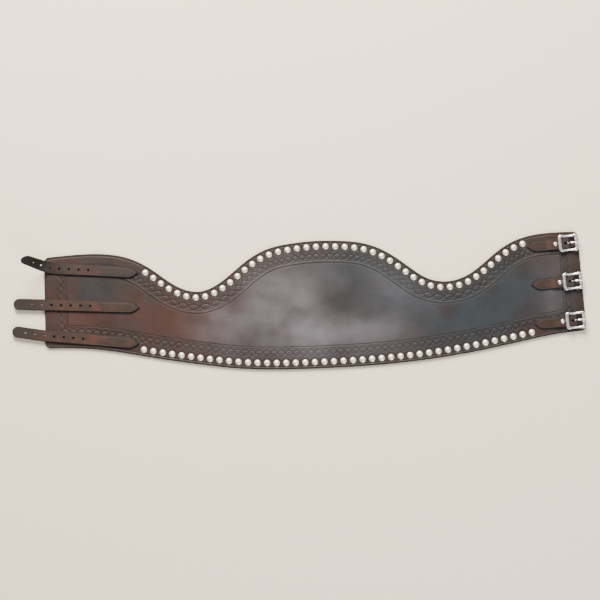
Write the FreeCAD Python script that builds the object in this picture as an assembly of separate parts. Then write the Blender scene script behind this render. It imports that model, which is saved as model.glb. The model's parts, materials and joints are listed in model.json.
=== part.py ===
import FreeCAD, Part
import math
import os

# Studded leather girth belt, laid out flat with its face up.
# Millimetres.  X runs along the belt (billets at -X, buckles at +X), Y across it, Z out of its face.
# The origin lies on the back face, under the crown of the middle hump.

# ---- driving dimensions: panel ----
left_reach = 455.0            # origin to the billet end
right_reach = 439.0           # origin to the buckle end
top_height = 108.0            # origin to the crown of the top edge
bottom_depth = 106.4          # origin to the lowest point of the bottom edge
panel_thickness = 4.0
corner_radius = 8.0
bottom_splay_left = 1.5       # how much further out the billet end stands at its bottom corner
bottom_splay_right = 5.0
bend_gap = 0.4                # cut left at each line where the leather bends

# Edge curves: share of the reach along X (negative towards the billets), share of the height along Y.
TOP_EDGE = (
    (-1.00, 0.925), (-0.89, 0.951), (-0.78, 0.942), (-0.69, 0.860), (-0.60, 0.648), (-0.51, 0.374),
    (-0.435, 0.290), (-0.36, 0.405), (-0.27, 0.694), (-0.18, 0.903), (-0.09, 0.976), (0.00, 1.000),
    (0.09, 0.985), (0.18, 0.932), (0.27, 0.776), (0.36, 0.502), (0.425, 0.329), (0.49, 0.276),
    (0.56, 0.336), (0.65, 0.578), (0.73, 0.808), (0.81, 0.923), (0.90, 0.962), (1.00, 0.958),
)
BOTTOM_EDGE = (
    (-1.00, 0.492), (-0.88, 0.515), (-0.74, 0.600), (-0.60, 0.725), (-0.45, 0.845), (-0.28, 0.952),
    (-0.10, 0.994), (0.04, 1.000), (0.20, 0.988), (0.40, 0.937), (0.60, 0.835), (0.78, 0.707),
    (0.90, 0.626), (1.00, 0.588),
)

# ---- driving dimensions: spots ----
spot_radius = 5.5
spot_height = 3.0
spot_wall = 0.6
spot_pitch = 16.0
spot_inset = 10.5             # panel edge to the middle of a spot
spot_row_left = 168.4         # billet end to the first top spot
spot_row_left_low = 161.8     # billet end to the first bottom spot
spot_row_right = 92.5         # last top spot to the buckle end
spot_row_right_low = 86.0     # last bottom spot to the buckle end
prong_width = 1.8
prong_thickness = 0.6
prong_spread = 3.6            # middle of the spot to the middle of a prong
prong_clinch = 2.4            # length of the turned-over tip
prong_clearance = 0.1
prong_root = 1.5              # how far a prong stands up inside the dome

# ---- driving dimensions: billet straps ----
strap_width = 19.0
strap_thickness = 3.0
strap_ogive = 18.0            # length of the pointed end
ogive_bulge = (0.58, 0.64)    # a point on its curve, as shares of its length and half width
sewn_length = 64.0
hole_radius = 1.8
hole_count = 7
hole_pitch = 16.2
lift_gap = 0.4                # cut left at the line where a billet lifts
side_bend_radius = 120.0
curl_radius = 45.0

# One row per billet: name, hinge distance from the billet end, share of the height at the hinge,
# slope in degrees, free length, first hole from the tip, length before the side bend, side bend in
# degrees, length before the curl, curl in degrees.
BILLETS = (
    ("top", 93.5, 0.681, -5.2, 143.0, 26.0, 70.0, 12.0, 68.0, 50.0),
    ("middle", 93.3, 0.125, -4.0, 146.3, 31.0, 140.0, 0.0, 140.0, 0.0),
    ("bottom", 91.1, -0.407, -7.1, 148.7, 22.0, 91.0, 3.7, 140.0, 0.0),
)

# ---- driving dimensions: buckles and their tabs ----
buckle_length = 33.0          # along the belt
window_clearance = 1.4        # how much wider a buckle's window is than the strap
keeper_bar = 5.6              # width of the keeper bar and of the tip bar
side_bar = 4.3
bar_depth = 3.2               # thickness of the frame
frame_corner = 5.0
window_corner = 2.5
waist = 1.2                   # how far each side bar pinches in
arch = 1.8                    # how far the frame dips at the centre bar
bar_radius = 1.6
bar_drop = 0.64               # how much deeper its underside dips, to hold the centre bar
bar_embed = 1.5               # length of the centre bar inside each side bar
loop_clearance = 0.15         # leather to centre bar
fold_clearance = 0.9          # keeper bar to the foot of the fold
keeper_clearance = 0.6        # leather to the underside of the keeper bar
eye_clearance = 0.06          # tongue eye to centre bar
eye_wall = 1.3
tongue_radius = 1.3
tongue_cheek = 0.2            # how much wider the eye is than the shank, each side
tongue_knee = 7.0             # centre bar to the bend in the tongue
tongue_rest = 1.0             # depth of the notch in the tip bar
tongue_notch_clearance = 0.3
tongue_slot = 4.6             # width of the slot in the leather
tongue_slot_reach = 8.0       # centre bar to the slot's closed end
tab_thickness = 2.4
turn_thickness = 2.0          # skived leather where it turns round the bar
skive_length = 6.0            # how far the tab takes to come down off the returning layer
tab_length = 69.0             # centre bar to the tab's point
tab_ogive = 17.0
tab_slope = 2.4               # degrees that each tab is turned to follow the splayed end
lift_margin = 0.5             # keeper bar to the line where the loop lifts
rivet_margin = 0.5            # that line to the rivet's head
return_margin = 1.9           # rivet's head to the end of the returning layer
rivet_head_radius = 3.8
rivet_head_height = 2.4
rivet_shank_radius = 1.6
rivet_clearance = 0.05
burr_radius = 4.0
burr_thickness = 0.8

# One row per buckle: name, centre bar's distance from the buckle end, share of the height there.
BUCKLES = (("top", 17.2, 0.778), ("middle", 13.8, 0.181), ("bottom", 13.0, -0.433))

# ---- driving dimensions: stitching ----
stitch_pitch = 4.2
stitch_length = 3.2
stitch_width = 0.8
stitch_height = 0.4
stitch_inset = 2.4
stitch_point_inset = 3.6      # strap's point to the turn of the stitching
stitch_roundness = 1.85       # power that rounds the stitching like the pointed end

# Where the panel bends when it is wrapped, as shares of the reach on each side.
BEND_LINES = {"left_outer": -0.507, "left_inner": -0.140, "right_inner": 0.236, "right_outer": 0.616}
SEGMENTS = ("left_end", "left_mid", "centre", "right_mid", "right_end")


def vec(x, y, z=0.0):
    """A vector from three lengths."""
    return FreeCAD.Vector(x, y, z)


def reach(share):
    """X of a station given as a share of the reach on its own side."""
    return share * (left_reach if share < 0 else right_reach)


def height(share):
    """Y of a place given as a share of the height above the origin, or of the depth below it."""
    return share * (bottom_depth if share < 0 else top_height)


def edge_curve(stations, side):
    """Smooth edge of the panel through its stations, above the origin (side 1) or below it (-1)."""
    curve = Part.BSplineCurve()
    curve.interpolate([vec(reach(share), height(side * rise)) for share, rise in stations])
    return curve


def line(start, end):
    """Straight edge between two points."""
    return Part.makeLine(start, end)


def arc(start, middle, end):
    """Round edge through three points."""
    return Part.Arc(start, middle, end).toShape()


def prism(edges, direction):
    """Closed outline pushed along a vector into a solid."""
    return Part.Face(Part.Wire(Part.__sortEdges__(edges))).extrude(direction)


def polygon(points, direction):
    """Straight-sided outline pushed along a vector into a solid."""
    return Part.Face(Part.makePolygon(points + points[:1])).extrude(direction)


def box(x0, x1, y0, y1, z0, z1):
    """Block between two corners."""
    return Part.makeBox(x1 - x0, y1 - y0, z1 - z0, vec(x0, y0, z0))


def cylinder(radius, start, end):
    """Round bar between two points."""
    return Part.makeCylinder(radius, start.distanceToPoint(end), start, end - start)


def placed(shape, x, y, turn, z=0.0):
    """Copy of a shape, turned about Z and moved to a place."""
    copy = shape.copy()
    place = FreeCAD.Placement(vec(x, y, z), FreeCAD.Rotation(vec(0, 0, 1), turn))
    copy.Placement = place.multiply(shape.Placement)
    return copy


def group(shapes):
    """Separate solids kept together under one name."""
    return Part.makeCompound([solid for shape in shapes for solid in shape.Solids])


# ---- panel ----
top_edge = edge_curve(TOP_EDGE, 1)
bottom_edge = edge_curve(BOTTOM_EDGE, -1)


def splayed(curve, left_shift, right_shift):
    """Edge curve with its two ends shifted outwards along X."""
    poles = curve.getPoles()
    moved = curve.copy()
    moved.setPole(1, poles[0] + vec(-left_shift, 0))
    moved.setPole(len(poles), poles[-1] + vec(right_shift, 0))
    return moved


def panel_blank():
    """The whole panel, with rounded corners and nothing cut in it."""
    low = splayed(bottom_edge, bottom_splay_left, bottom_splay_right)
    top_start, top_end = top_edge.StartPoint, top_edge.EndPoint
    low_start, low_end = low.StartPoint, low.EndPoint
    edges = [top_edge.toShape(), line(top_end, low_end), low.toShape(), line(low_start, top_start)]
    blank = prism(edges, vec(0, 0, panel_thickness))
    corners = [top_start, top_end, low_start, low_end]
    upright = []
    for edge in blank.Edges:
        foot = edge.Vertexes[0].Point
        if abs(edge.BoundBox.ZLength - panel_thickness) > 0.01 or len(edge.Vertexes) < 2:
            continue
        if min(math.hypot(foot.x - c.x, foot.y - c.y) for c in corners) < 0.01:
            upright.append(edge)
    return blank.makeFillet(corner_radius, upright)


def spot_row(curve, inward, x_start, x_end):
    """Even places (x, y, turn) on the line that runs at spot_inset from an edge curve."""
    samples = 1500
    first, last = curve.FirstParameter, curve.LastParameter
    path = []
    for step in range(samples + 1):
        at = first + (last - first) * step / samples
        along = curve.tangent(at)[0]
        spot = curve.value(at) + vec(-along.y, along.x) * (inward * spot_inset)
        if x_start <= spot.x <= x_end:
            path.append((spot, math.degrees(math.atan2(along.y, along.x))))
    travelled = [0.0]
    for before, after in zip(path, path[1:]):
        travelled.append(travelled[-1] + before[0].distanceToPoint(after[0]))
    gaps = round(travelled[-1] / spot_pitch)
    places = []
    step = 0
    for number in range(gaps + 1):
        target = travelled[-1] * number / gaps
        while step < len(path) - 2 and travelled[step + 1] < target:
            step += 1
        share = (target - travelled[step]) / (travelled[step + 1] - travelled[step])
        place = path[step][0] + (path[step + 1][0] - path[step][0]) * share
        places.append((place.x, place.y, path[step][1]))
    return places


ROWS = {
    "top": spot_row(top_edge, -1, spot_row_left - left_reach, right_reach - spot_row_right),
    "bottom": spot_row(bottom_edge, 1, spot_row_left_low - left_reach, right_reach - spot_row_right_low),
}


def bend_line(share):
    """X near a share of the reach that lies as far as it can from every spot's middle."""
    middles = [place[0] for row in ROWS.values() for place in row]
    tries = [reach(share) + spot_pitch * (step / 40.0 - 0.5) for step in range(41)]
    return max(tries, key=lambda x: min(abs(x - middle) for middle in middles))


BENDS = [bend_line(BEND_LINES[name]) for name in ("left_outer", "left_inner", "right_inner", "right_outer")]
far = 2.0 * (left_reach + right_reach)
LIMITS = [-far] + BENDS + [far]


def in_segment(places, index):
    """The places whose middles lie in one segment of the panel."""
    return [place for place in places if LIMITS[index] < place[0] < LIMITS[index + 1]]


# ---- spots ----
def prongs(clearance):
    """Two prongs of a spot, turned over at the back; with a clearance, the slots that they need."""
    half = prong_width / 2.0 + clearance
    parts = []
    for side in (-1, 1):
        outer = prong_spread + prong_thickness / 2.0 + clearance
        inner = prong_spread - prong_thickness / 2.0 - clearance
        tip = prong_spread - prong_clinch - clearance
        leg_top = panel_thickness + prong_root
        near, away = sorted((side * inner, side * outer))
        parts.append(box(-half, half, near, away, 0.0, leg_top))
        near, away = sorted((side * tip, side * outer))
        parts.append(box(-half, half, near, away, 0.0, prong_thickness + clearance))
    return parts


def make_spot():
    """Pressed dome, hollow under its crown, with its two prongs."""
    ball = (spot_radius ** 2 + spot_height ** 2) / (2.0 * spot_height)
    centre = vec(0, 0, panel_thickness + spot_height - ball)
    above = box(-ball, ball, -ball, ball, panel_thickness, panel_thickness + 2.0 * ball)
    dome = Part.makeSphere(ball, centre).common(above)
    hollow = Part.makeSphere(ball - spot_wall, centre).common(above)
    left, low_left, right, low_right = prongs(0.0)
    spot = dome.cut(hollow).multiFuse([left, low_left, right, low_right])
    return spot.removeSplitter()


# ---- straps ----
def pointed_plan(start_x, point_x, half_width, ogive, tall):
    """Strap outline from a square end to a gothic point, pushed up into a solid."""
    sign = 1.0 if point_x > start_x else -1.0
    shoulder = point_x - sign * ogive
    middle_x = shoulder + sign * ogive * ogive_bulge[0]
    middle_y = half_width * ogive_bulge[1]
    edges = [
        line(vec(start_x, half_width), vec(shoulder, half_width)),
        arc(vec(shoulder, half_width), vec(middle_x, middle_y), vec(point_x, 0)),
        arc(vec(point_x, 0), vec(middle_x, -middle_y), vec(shoulder, -half_width)),
        line(vec(shoulder, -half_width), vec(start_x, -half_width)),
        line(vec(start_x, -half_width), vec(start_x, half_width)),
    ]
    return prism(edges, vec(0, 0, tall))


def stitch_places(start_x, point_x, half_width, ogive):
    """Even places (x, y, turn) along both sides and round the point of a pointed strap."""
    sign = 1.0 if point_x > start_x else -1.0
    width = half_width - stitch_inset
    length = abs(point_x - start_x) - stitch_point_inset
    taper = ogive - stitch_inset / 2.0
    samples = 400
    path = []
    for step in range(samples + 1):
        along = length * step / samples
        into = max(0.0, (along - (length - taper)) / taper)
        path.append(vec(start_x + sign * along, width * (1.0 - into ** stitch_roundness)))
    places = []
    travelled = stitch_pitch / 2.0
    for before, after in zip(path, path[1:]):
        travelled += before.distanceToPoint(after)
        if travelled >= stitch_pitch:
            travelled -= stitch_pitch
            turn = math.degrees(math.atan2(after.y - before.y, after.x - before.x))
            places.append((after.x, after.y, turn))
            places.append((after.x, -after.y, -turn))
    return [place for place in places if abs(place[1]) > stitch_length / 2.0]


def make_stitches(places, z):
    """Thread lying on the leather, one short bar per stitch."""
    half, side = stitch_length / 2.0, stitch_width / 2.0
    bar = box(-half, half, -side, side, 0.0, stitch_height)
    return [placed(bar, x, y, turn, z) for x, y, turn in places]


def centreline(side_run, side_bend, curl_run, curl, length):
    """Walk a billet from its lifting line to its tip.

    Gives points (distance, place, heading, rise) with the two angles in radians.
    """
    steps = 1600
    step = length / steps
    at, across, heading, rise = vec(0, 0, panel_thickness + strap_thickness / 2.0), 0.0, 0.0, 0.0
    walk = [(0.0, at, heading, rise)]
    for number in range(1, steps + 1):
        distance = number * step
        rise = min(max(0.0, (distance - curl_run) / curl_radius), math.radians(curl))
        heading = min(max(0.0, (across - side_run) / side_bend_radius), math.radians(side_bend))
        flat = math.cos(rise) * step
        across += flat
        at = at + vec(-flat * math.cos(heading), flat * math.sin(heading), math.sin(rise) * step)
        walk.append((distance, at, heading, rise))
    return walk


def billet_plan(side_run, side_bend, span):
    """Plan of a billet's free part: straight, gently bent to one side, with a round tip."""
    half = strap_width / 2.0
    start = -lift_gap / 2.0
    bend = math.radians(side_bend)
    if side_bend == 0:
        neck = vec(-(span - half), 0)
        normal = vec(0, 1)
        sides = [line(vec(start, s * half), neck + normal * (s * half)) for s in (1, -1)]
    else:
        pivot = vec(-side_run, side_bend_radius)
        bent = side_bend_radius * math.sin(bend)
        last = (span - half - side_run - bent) / math.cos(bend)
        forward = vec(-math.cos(bend), math.sin(bend))
        normal = vec(math.sin(bend), math.cos(bend))
        corner = pivot - normal * side_bend_radius
        neck = corner + forward * last
        half_turn = vec(math.sin(bend / 2.0), math.cos(bend / 2.0))
        sides = []
        for s in (1, -1):
            radius = side_bend_radius - s * half
            near, far_side = vec(-side_run, s * half), corner + normal * (s * half)
            sides.append(line(vec(start, s * half), near))
            sides.append(arc(near, pivot - half_turn * radius, far_side))
            sides.append(line(far_side, neck + normal * (s * half)))
    forward = vec(-normal.y, normal.x)
    tip = arc(neck + normal * half, neck + forward * half, neck - normal * half)
    back = line(vec(start, half), vec(start, -half))
    return sides + [tip, back]


def billet_profile(curl_run, curl, length):
    """Side view of a curled billet as a solid slab: flat, then bent up, then straight."""
    low = panel_thickness
    high = panel_thickness + strap_thickness
    bend = math.radians(curl)
    middle = curl_radius + low + strap_thickness / 2.0
    rest = length - curl_run - curl_radius * bend + strap_width

    def on_arc(radius, angle):
        return vec(-curl_run - radius * math.sin(angle), 0, middle - radius * math.cos(angle))

    outer = curl_radius + strap_thickness / 2.0
    inner = curl_radius - strap_thickness / 2.0
    away = vec(-math.cos(bend), 0, math.sin(bend)) * rest
    edges = [
        line(vec(0, 0, low), vec(-curl_run, 0, low)),
        arc(on_arc(outer, 0), on_arc(outer, bend / 2.0), on_arc(outer, bend)),
        line(on_arc(outer, bend), on_arc(outer, bend) + away),
        line(on_arc(outer, bend) + away, on_arc(inner, bend) + away),
        line(on_arc(inner, bend) + away, on_arc(inner, bend)),
        arc(on_arc(inner, bend), on_arc(inner, bend / 2.0), on_arc(inner, 0)),
        line(vec(-curl_run, 0, high), vec(0, 0, high)),
        line(vec(0, 0, high), vec(0, 0, low)),
    ]
    slab = prism(edges, vec(0, 2.0 * length, 0))
    slab.translate(vec(0, -length, 0))
    return slab


def make_billet(length, first_hole, side_run, side_bend, curl_run, curl):
    """Free part of a billet, with its holes, and the middles and axes of those holes."""
    walk = centreline(side_run, side_bend, curl_run, curl, length)
    span = sum(a[1].distanceToPoint(b[1]) * math.cos(b[3]) for a, b in zip(walk, walk[1:]))
    plan = billet_plan(side_run, side_bend, span)
    if curl == 0:
        strap = prism(plan, vec(0, 0, strap_thickness))
        strap.translate(vec(0, 0, panel_thickness))
    else:
        column = prism(plan, vec(0, 0, length))
        strap = column.common(billet_profile(curl_run, curl, length))
    holes = []
    for number in range(hole_count):
        distance = length - first_hole - number * hole_pitch
        _, at, heading, rise = min(walk, key=lambda point: abs(point[0] - distance))
        axis = vec(math.sin(rise) * math.cos(heading), -math.sin(rise) * math.sin(heading), math.cos(rise))
        holes.append((at, axis))
        strap = strap.cut(cylinder(hole_radius, at - axis * strap_thickness, at + axis * strap_thickness))
    return strap, holes


# ---- buckles ----
bar_z = panel_thickness + turn_thickness + loop_clearance + bar_radius
buckle_width = strap_width + window_clearance + 2.0 * side_bar
loop_start = buckle_length / 2.0 + lift_margin
rivet_x = loop_start + rivet_margin + rivet_head_radius
return_end = rivet_x + rivet_head_radius + return_margin
layers_top = panel_thickness + 2.0 * turn_thickness
frame_low = layers_top + keeper_clearance
frame_high = frame_low + bar_depth
tongue_z = frame_high - tongue_rest + tongue_radius + tongue_notch_clearance


def rounded_plan(half_x, half_y, radius, tall):
    """Rounded rectangle pushed up into a solid."""
    block = box(-half_x, half_x, -half_y, half_y, 0.0, tall)
    return block.makeFillet(radius, [edge for edge in block.Edges if edge.BoundBox.ZLength > tall / 2.0])


def make_frame():
    """Cast centre-bar frame: waisted ring, dipped at the middle, with its centre bar."""
    tall = frame_high + buckle_length
    half_x, half_y = buckle_length / 2.0, buckle_width / 2.0
    ring = rounded_plan(half_x, half_y, frame_corner, tall)
    ring = ring.cut(rounded_plan(half_x - keeper_bar, half_y - side_bar, window_corner, tall))
    chord = half_x - frame_corner
    pinch = (chord ** 2 + waist ** 2) / (2.0 * waist)
    for side in (-1, 1):
        foot = vec(0, side * (half_y - waist + pinch), 0)
        ring = ring.cut(cylinder(pinch, foot, foot + vec(0, 0, tall)))
    window = half_x - keeper_bar
    dip_low = frame_low - arch - bar_drop
    dip_high = frame_high - arch
    edges = [
        line(vec(-half_x, 0, frame_low), vec(-window, 0, frame_low)),
        arc(vec(-window, 0, frame_low), vec(0, 0, dip_low), vec(window, 0, frame_low)),
        line(vec(window, 0, frame_low), vec(half_x, 0, frame_low)),
        line(vec(half_x, 0, frame_low), vec(half_x, 0, frame_high)),
        line(vec(half_x, 0, frame_high), vec(window, 0, frame_high)),
        arc(vec(window, 0, frame_high), vec(0, 0, dip_high), vec(-window, 0, frame_high)),
        line(vec(-window, 0, frame_high), vec(-half_x, 0, frame_high)),
        line(vec(-half_x, 0, frame_high), vec(-half_x, 0, frame_low)),
    ]
    slab = prism(edges, vec(0, 2.0 * buckle_width, 0))
    slab.translate(vec(0, -buckle_width, 0))
    embed = half_y - side_bar + bar_embed
    bar = cylinder(bar_radius, vec(0, -embed, bar_z), vec(0, embed, bar_z))
    notch_radius = tongue_radius + tongue_notch_clearance
    notch = cylinder(notch_radius, vec(window - 1.0, 0, tongue_z), vec(half_x + 1.0, 0, tongue_z))
    return ring.common(slab).fuse(bar).cut(notch).removeSplitter()


def make_tongue():
    """Tongue: an eye round the centre bar, a bent shank and a rounded tip on the tip bar."""
    bore = bar_radius + eye_clearance
    outer = bore + eye_wall
    half = tongue_radius + tongue_cheek
    eye = cylinder(outer, vec(0, -half, bar_z), vec(0, half, bar_z))
    root = vec(0.75 * outer, 0, bar_z + 0.45 * outer)
    knee = vec(tongue_knee, 0, tongue_z)
    tip = vec(buckle_length / 2.0 - tongue_radius, 0, tongue_z)
    parts = [
        cylinder(tongue_radius, root, knee), Part.makeSphere(tongue_radius, knee),
        cylinder(tongue_radius, knee, tip), Part.makeSphere(tongue_radius, tip),
    ]
    solid = eye.multiFuse(parts)
    return solid.cut(cylinder(bore, vec(0, -2.0 * half, bar_z), vec(0, 2.0 * half, bar_z)))


def leaving_point(foot_x, foot_z, radius):
    """Where leather wrapped over the centre bar leaves it to run straight down to a foot behind it."""
    away = math.hypot(foot_x, foot_z - bar_z)
    angle = math.atan2(foot_z - bar_z, foot_x) % (2.0 * math.pi) - math.acos(radius / away)
    return vec(radius * math.cos(angle), 0, bar_z + radius * math.sin(angle))


def make_loop():
    """Leather loop round the centre bar, with its slot for the tongue."""
    start = -loop_start + lift_gap / 2.0
    inner = bar_radius + loop_clearance
    outer = inner + turn_thickness
    low = panel_thickness
    hollow_low = low + turn_thickness
    foot = -(buckle_length / 2.0 - keeper_bar) + fold_clearance
    half = strap_width / 2.0
    over = leaving_point(foot, layers_top, outer)
    under = leaving_point(foot, hollow_low, inner)
    outside = [
        line(vec(start, 0, low), vec(0, 0, low)),
        arc(vec(0, 0, low), vec(outer, 0, bar_z), over),
        line(over, vec(foot, 0, layers_top)),
        line(vec(foot, 0, layers_top), vec(start, 0, layers_top)),
        line(vec(start, 0, layers_top), vec(start, 0, low)),
    ]
    inside = [
        line(vec(foot, 0, hollow_low), vec(0, 0, hollow_low)),
        arc(vec(0, 0, hollow_low), vec(inner, 0, bar_z), under),
        line(under, vec(foot, 0, hollow_low)),
    ]
    loop = prism(outside, vec(0, strap_width, 0)).cut(prism(inside, vec(0, strap_width, 0)))
    loop.translate(vec(0, -half, 0))
    slot = tongue_slot / 2.0
    return loop.cut(box(-tongue_slot_reach, 2.0 * outer, -slot, slot, 0.0, 2.0 * layers_top))


def make_tab():
    """Sewn part of a buckle tab: pointed plan, with the returning layer under its inner end."""
    start = -loop_start - lift_gap / 2.0
    low = panel_thickness
    thin = low + tab_thickness
    side = [
        vec(start, 0, low), vec(start, 0, layers_top), vec(-return_end, 0, layers_top),
        vec(-return_end - skive_length, 0, thin), vec(-tab_length, 0, thin), vec(-tab_length, 0, low),
    ]
    slab = polygon(side, vec(0, 2.0 * strap_width, 0))
    slab.translate(vec(0, -strap_width, 0))
    plan = pointed_plan(start, -tab_length, strap_width / 2.0, tab_ogive, 2.0 * layers_top)
    above = vec(-rivet_x, 0, 2.0 * layers_top)
    hole = cylinder(rivet_shank_radius + rivet_clearance, vec(-rivet_x, 0, 0), above)
    return plan.common(slab).cut(hole)


def make_rivet():
    """Domed rivet standing on the tab, its shank running down to the back of the panel."""
    ball = (rivet_head_radius ** 2 + rivet_head_height ** 2) / (2.0 * rivet_head_height)
    dome = Part.makeSphere(ball, vec(0, 0, layers_top + rivet_head_height - ball))
    keep = box(-ball, ball, -ball, ball, layers_top, layers_top + 2.0 * ball)
    shank = cylinder(rivet_shank_radius, vec(0, 0, 0), vec(0, 0, layers_top + rivet_head_height / 2.0))
    return dome.common(keep).fuse(shank).removeSplitter()


def make_burr():
    """Washer under the rivet, let into the back of the panel."""
    hole = cylinder(rivet_shank_radius + rivet_clearance, vec(0, 0, -1), vec(0, 0, 2))
    return cylinder(burr_radius, vec(0, 0, 0), vec(0, 0, burr_thickness)).cut(hole)


def rivet_seat():
    """What the panel gives up to a rivet and its burr."""
    shank = cylinder(rivet_shank_radius + rivet_clearance, vec(0, 0, -1), vec(0, 0, 2.0 * panel_thickness))
    seat = cylinder(burr_radius + rivet_clearance, vec(0, 0, -1), vec(0, 0, burr_thickness + rivet_clearance))
    return shank.fuse(seat)


# ---- the parts ----
def build_parts():
    """Every node of the belt by name, and the joint and mount places that follow from the sizes."""
    parts = {}
    notes = {"bends": BENDS, "billets": [], "buckles": []}
    spot = make_spot()
    slots = Part.makeCompound(prongs(prong_clearance))
    blank = panel_blank()
    seats = []
    for name, inboard, share in BUCKLES:
        bar_x, bar_y = right_reach - inboard, height(share)
        turn = math.radians(tab_slope)
        rivet_at = (bar_x - rivet_x * math.cos(turn), bar_y - rivet_x * math.sin(turn))
        seats.append(placed(rivet_seat(), rivet_at[0], rivet_at[1], 0.0))
        local = {
            "frame": make_frame(), "tongue": make_tongue(), "loop": make_loop(), "tab": make_tab(),
            "stitching": group(make_stitches(
                stitch_places(-return_end - skive_length - stitch_pitch, -tab_length,
                              strap_width / 2.0, tab_ogive), panel_thickness + tab_thickness)),
        }
        for piece, shape in local.items():
            parts["buckle_%s_%s" % (name, piece)] = placed(shape, bar_x, bar_y, tab_slope)
        parts["buckle_%s_rivet" % name] = placed(make_rivet(), rivet_at[0], rivet_at[1], 0.0)
        parts["buckle_%s_burr" % name] = placed(make_burr(), rivet_at[0], rivet_at[1], 0.0)
        lift_at = (bar_x - loop_start * math.cos(turn), bar_y - loop_start * math.sin(turn), layers_top)
        notes["buckles"].append((name, (bar_x, bar_y, bar_z), lift_at))
    for index, segment in enumerate(SEGMENTS):
        low = LIMITS[index] + bend_gap / 2.0
        high = LIMITS[index + 1] - bend_gap / 2.0
        piece = blank.common(box(low, high, -far, far, -1.0, 2.0 * panel_thickness))
        cutters = []
        for row, places in ROWS.items():
            here = in_segment(places, index)
            cutters += [placed(slots, x, y, turn) for x, y, turn in here]
            parts["spots_%s_%s" % (row, segment)] = group([placed(spot, x, y, turn) for x, y, turn in here])
        if index == len(SEGMENTS) - 1:
            cutters += seats
        parts["panel_" + segment] = piece.cut(cutters)
    for name, inboard, share, slope, length, first_hole, side_run, side_bend, curl_run, curl in BILLETS:
        hinge_x, hinge_y = inboard - left_reach, height(share)
        free, holes = make_billet(length, first_hole, side_run, side_bend, curl_run, curl)
        sewn = pointed_plan(lift_gap / 2.0, sewn_length, strap_width / 2.0, strap_ogive, strap_thickness)
        sewn.translate(vec(0, 0, panel_thickness))
        places = stitch_places(3.0, sewn_length, strap_width / 2.0, strap_ogive)
        thread = group(make_stitches(places, panel_thickness + strap_thickness))
        parts["billet_%s_free_end" % name] = placed(free, hinge_x, hinge_y, slope)
        parts["billet_%s_sewn_end" % name] = placed(sewn, hinge_x, hinge_y, slope)
        parts["billet_%s_stitching" % name] = placed(thread, hinge_x, hinge_y, slope)
        turn = FreeCAD.Placement(vec(hinge_x, hinge_y), FreeCAD.Rotation(vec(0, 0, 1), slope))
        hole_notes = [(turn.multVec(at), turn.Rotation.multVec(axis)) for at, axis in holes]
        lift_z = panel_thickness + strap_thickness
        notes["billets"].append((name, (hinge_x, hinge_y, lift_z), slope, hole_notes))
    return parts, notes


def main():
    """Write every part, and print its volume and the places that joints and mounts use."""
    os.makedirs("parts", exist_ok=True)
    parts, notes = build_parts()
    for name, shape in sorted(parts.items()):
        if not shape.isValid() or not shape.Solids:
            raise RuntimeError("bad shape: " + name)
        shape.exportStep("parts/%s.step" % name)
        print("%-28s solids %3d  volume %10.1f" % (name, len(shape.Solids), shape.Volume))
    print("bends", [round(x, 3) for x in notes["bends"]])
    for row, places in ROWS.items():
        print("spots", row, len(places), "first", [round(v, 1) for v in places[0]],
              "last", [round(v, 1) for v in places[-1]])
    for name, at, slope, holes in notes["billets"]:
        print("billet", name, [round(v, 3) for v in at], "slope", slope)
        for middle, axis in holes:
            print("   hole", [round(v, 4) for v in middle], [round(v, 5) for v in axis])
    for name, bar, lift in notes["buckles"]:
        print("buckle", name, "bar", [round(v, 4) for v in bar], "lift", [round(v, 4) for v in lift])


if __name__ == "__main__":
    main()
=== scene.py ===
"""Studded leather girth belt: the looks of every piece, built around the fixed CAD frame.

Lengths are in metres.  X runs along the belt (billets at -X, buckles at +X), Y across it, Z out of
its face, and the origin lies on the back face under the crown of the middle hump.
"""
import json
import logging
import math
from dataclasses import dataclass, field
from enum import Enum

import bpy
import numpy as np
from mathutils import Matrix, Vector


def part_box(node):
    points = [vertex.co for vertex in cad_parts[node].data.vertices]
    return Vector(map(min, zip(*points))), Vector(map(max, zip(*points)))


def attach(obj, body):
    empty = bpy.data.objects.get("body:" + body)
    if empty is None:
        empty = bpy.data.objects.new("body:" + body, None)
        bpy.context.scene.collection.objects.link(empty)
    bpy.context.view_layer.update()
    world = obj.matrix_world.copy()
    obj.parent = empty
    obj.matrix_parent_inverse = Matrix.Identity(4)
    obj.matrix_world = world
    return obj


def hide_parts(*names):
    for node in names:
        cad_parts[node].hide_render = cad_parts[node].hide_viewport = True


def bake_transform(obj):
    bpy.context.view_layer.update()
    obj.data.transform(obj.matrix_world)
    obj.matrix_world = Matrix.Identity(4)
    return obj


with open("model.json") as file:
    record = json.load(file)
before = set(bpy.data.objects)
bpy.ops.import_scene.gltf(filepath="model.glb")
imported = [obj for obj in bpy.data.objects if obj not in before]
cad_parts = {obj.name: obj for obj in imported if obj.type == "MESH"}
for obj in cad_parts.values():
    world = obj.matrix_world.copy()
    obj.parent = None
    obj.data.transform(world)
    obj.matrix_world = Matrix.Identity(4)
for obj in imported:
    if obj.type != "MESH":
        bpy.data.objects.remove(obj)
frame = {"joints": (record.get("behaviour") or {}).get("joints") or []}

log = logging.getLogger("girth")
Array = np.ndarray
MM = 0.001
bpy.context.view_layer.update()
BELT_FACE = 4.0 * MM          # height of the belt's face
WAXED_IOR = 1.42              # wax and oil on the leather's face


# ---------------------------------------------------------------- small tools
def linear(colour: str) -> tuple[float, float, float, float]:
    """Turn an sRGB hex colour into linear RGBA.

    Args:
        colour: Six hex digits after a hash.

    Returns:
        Four linear channel values.
    """
    channels = [int(colour[i:i + 2], 16) / 255.0 for i in (1, 3, 5)]
    return tuple(c / 12.92 if c <= 0.04045 else ((c + 0.055) / 1.055) ** 2.4 for c in channels) + (1.0,)


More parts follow.
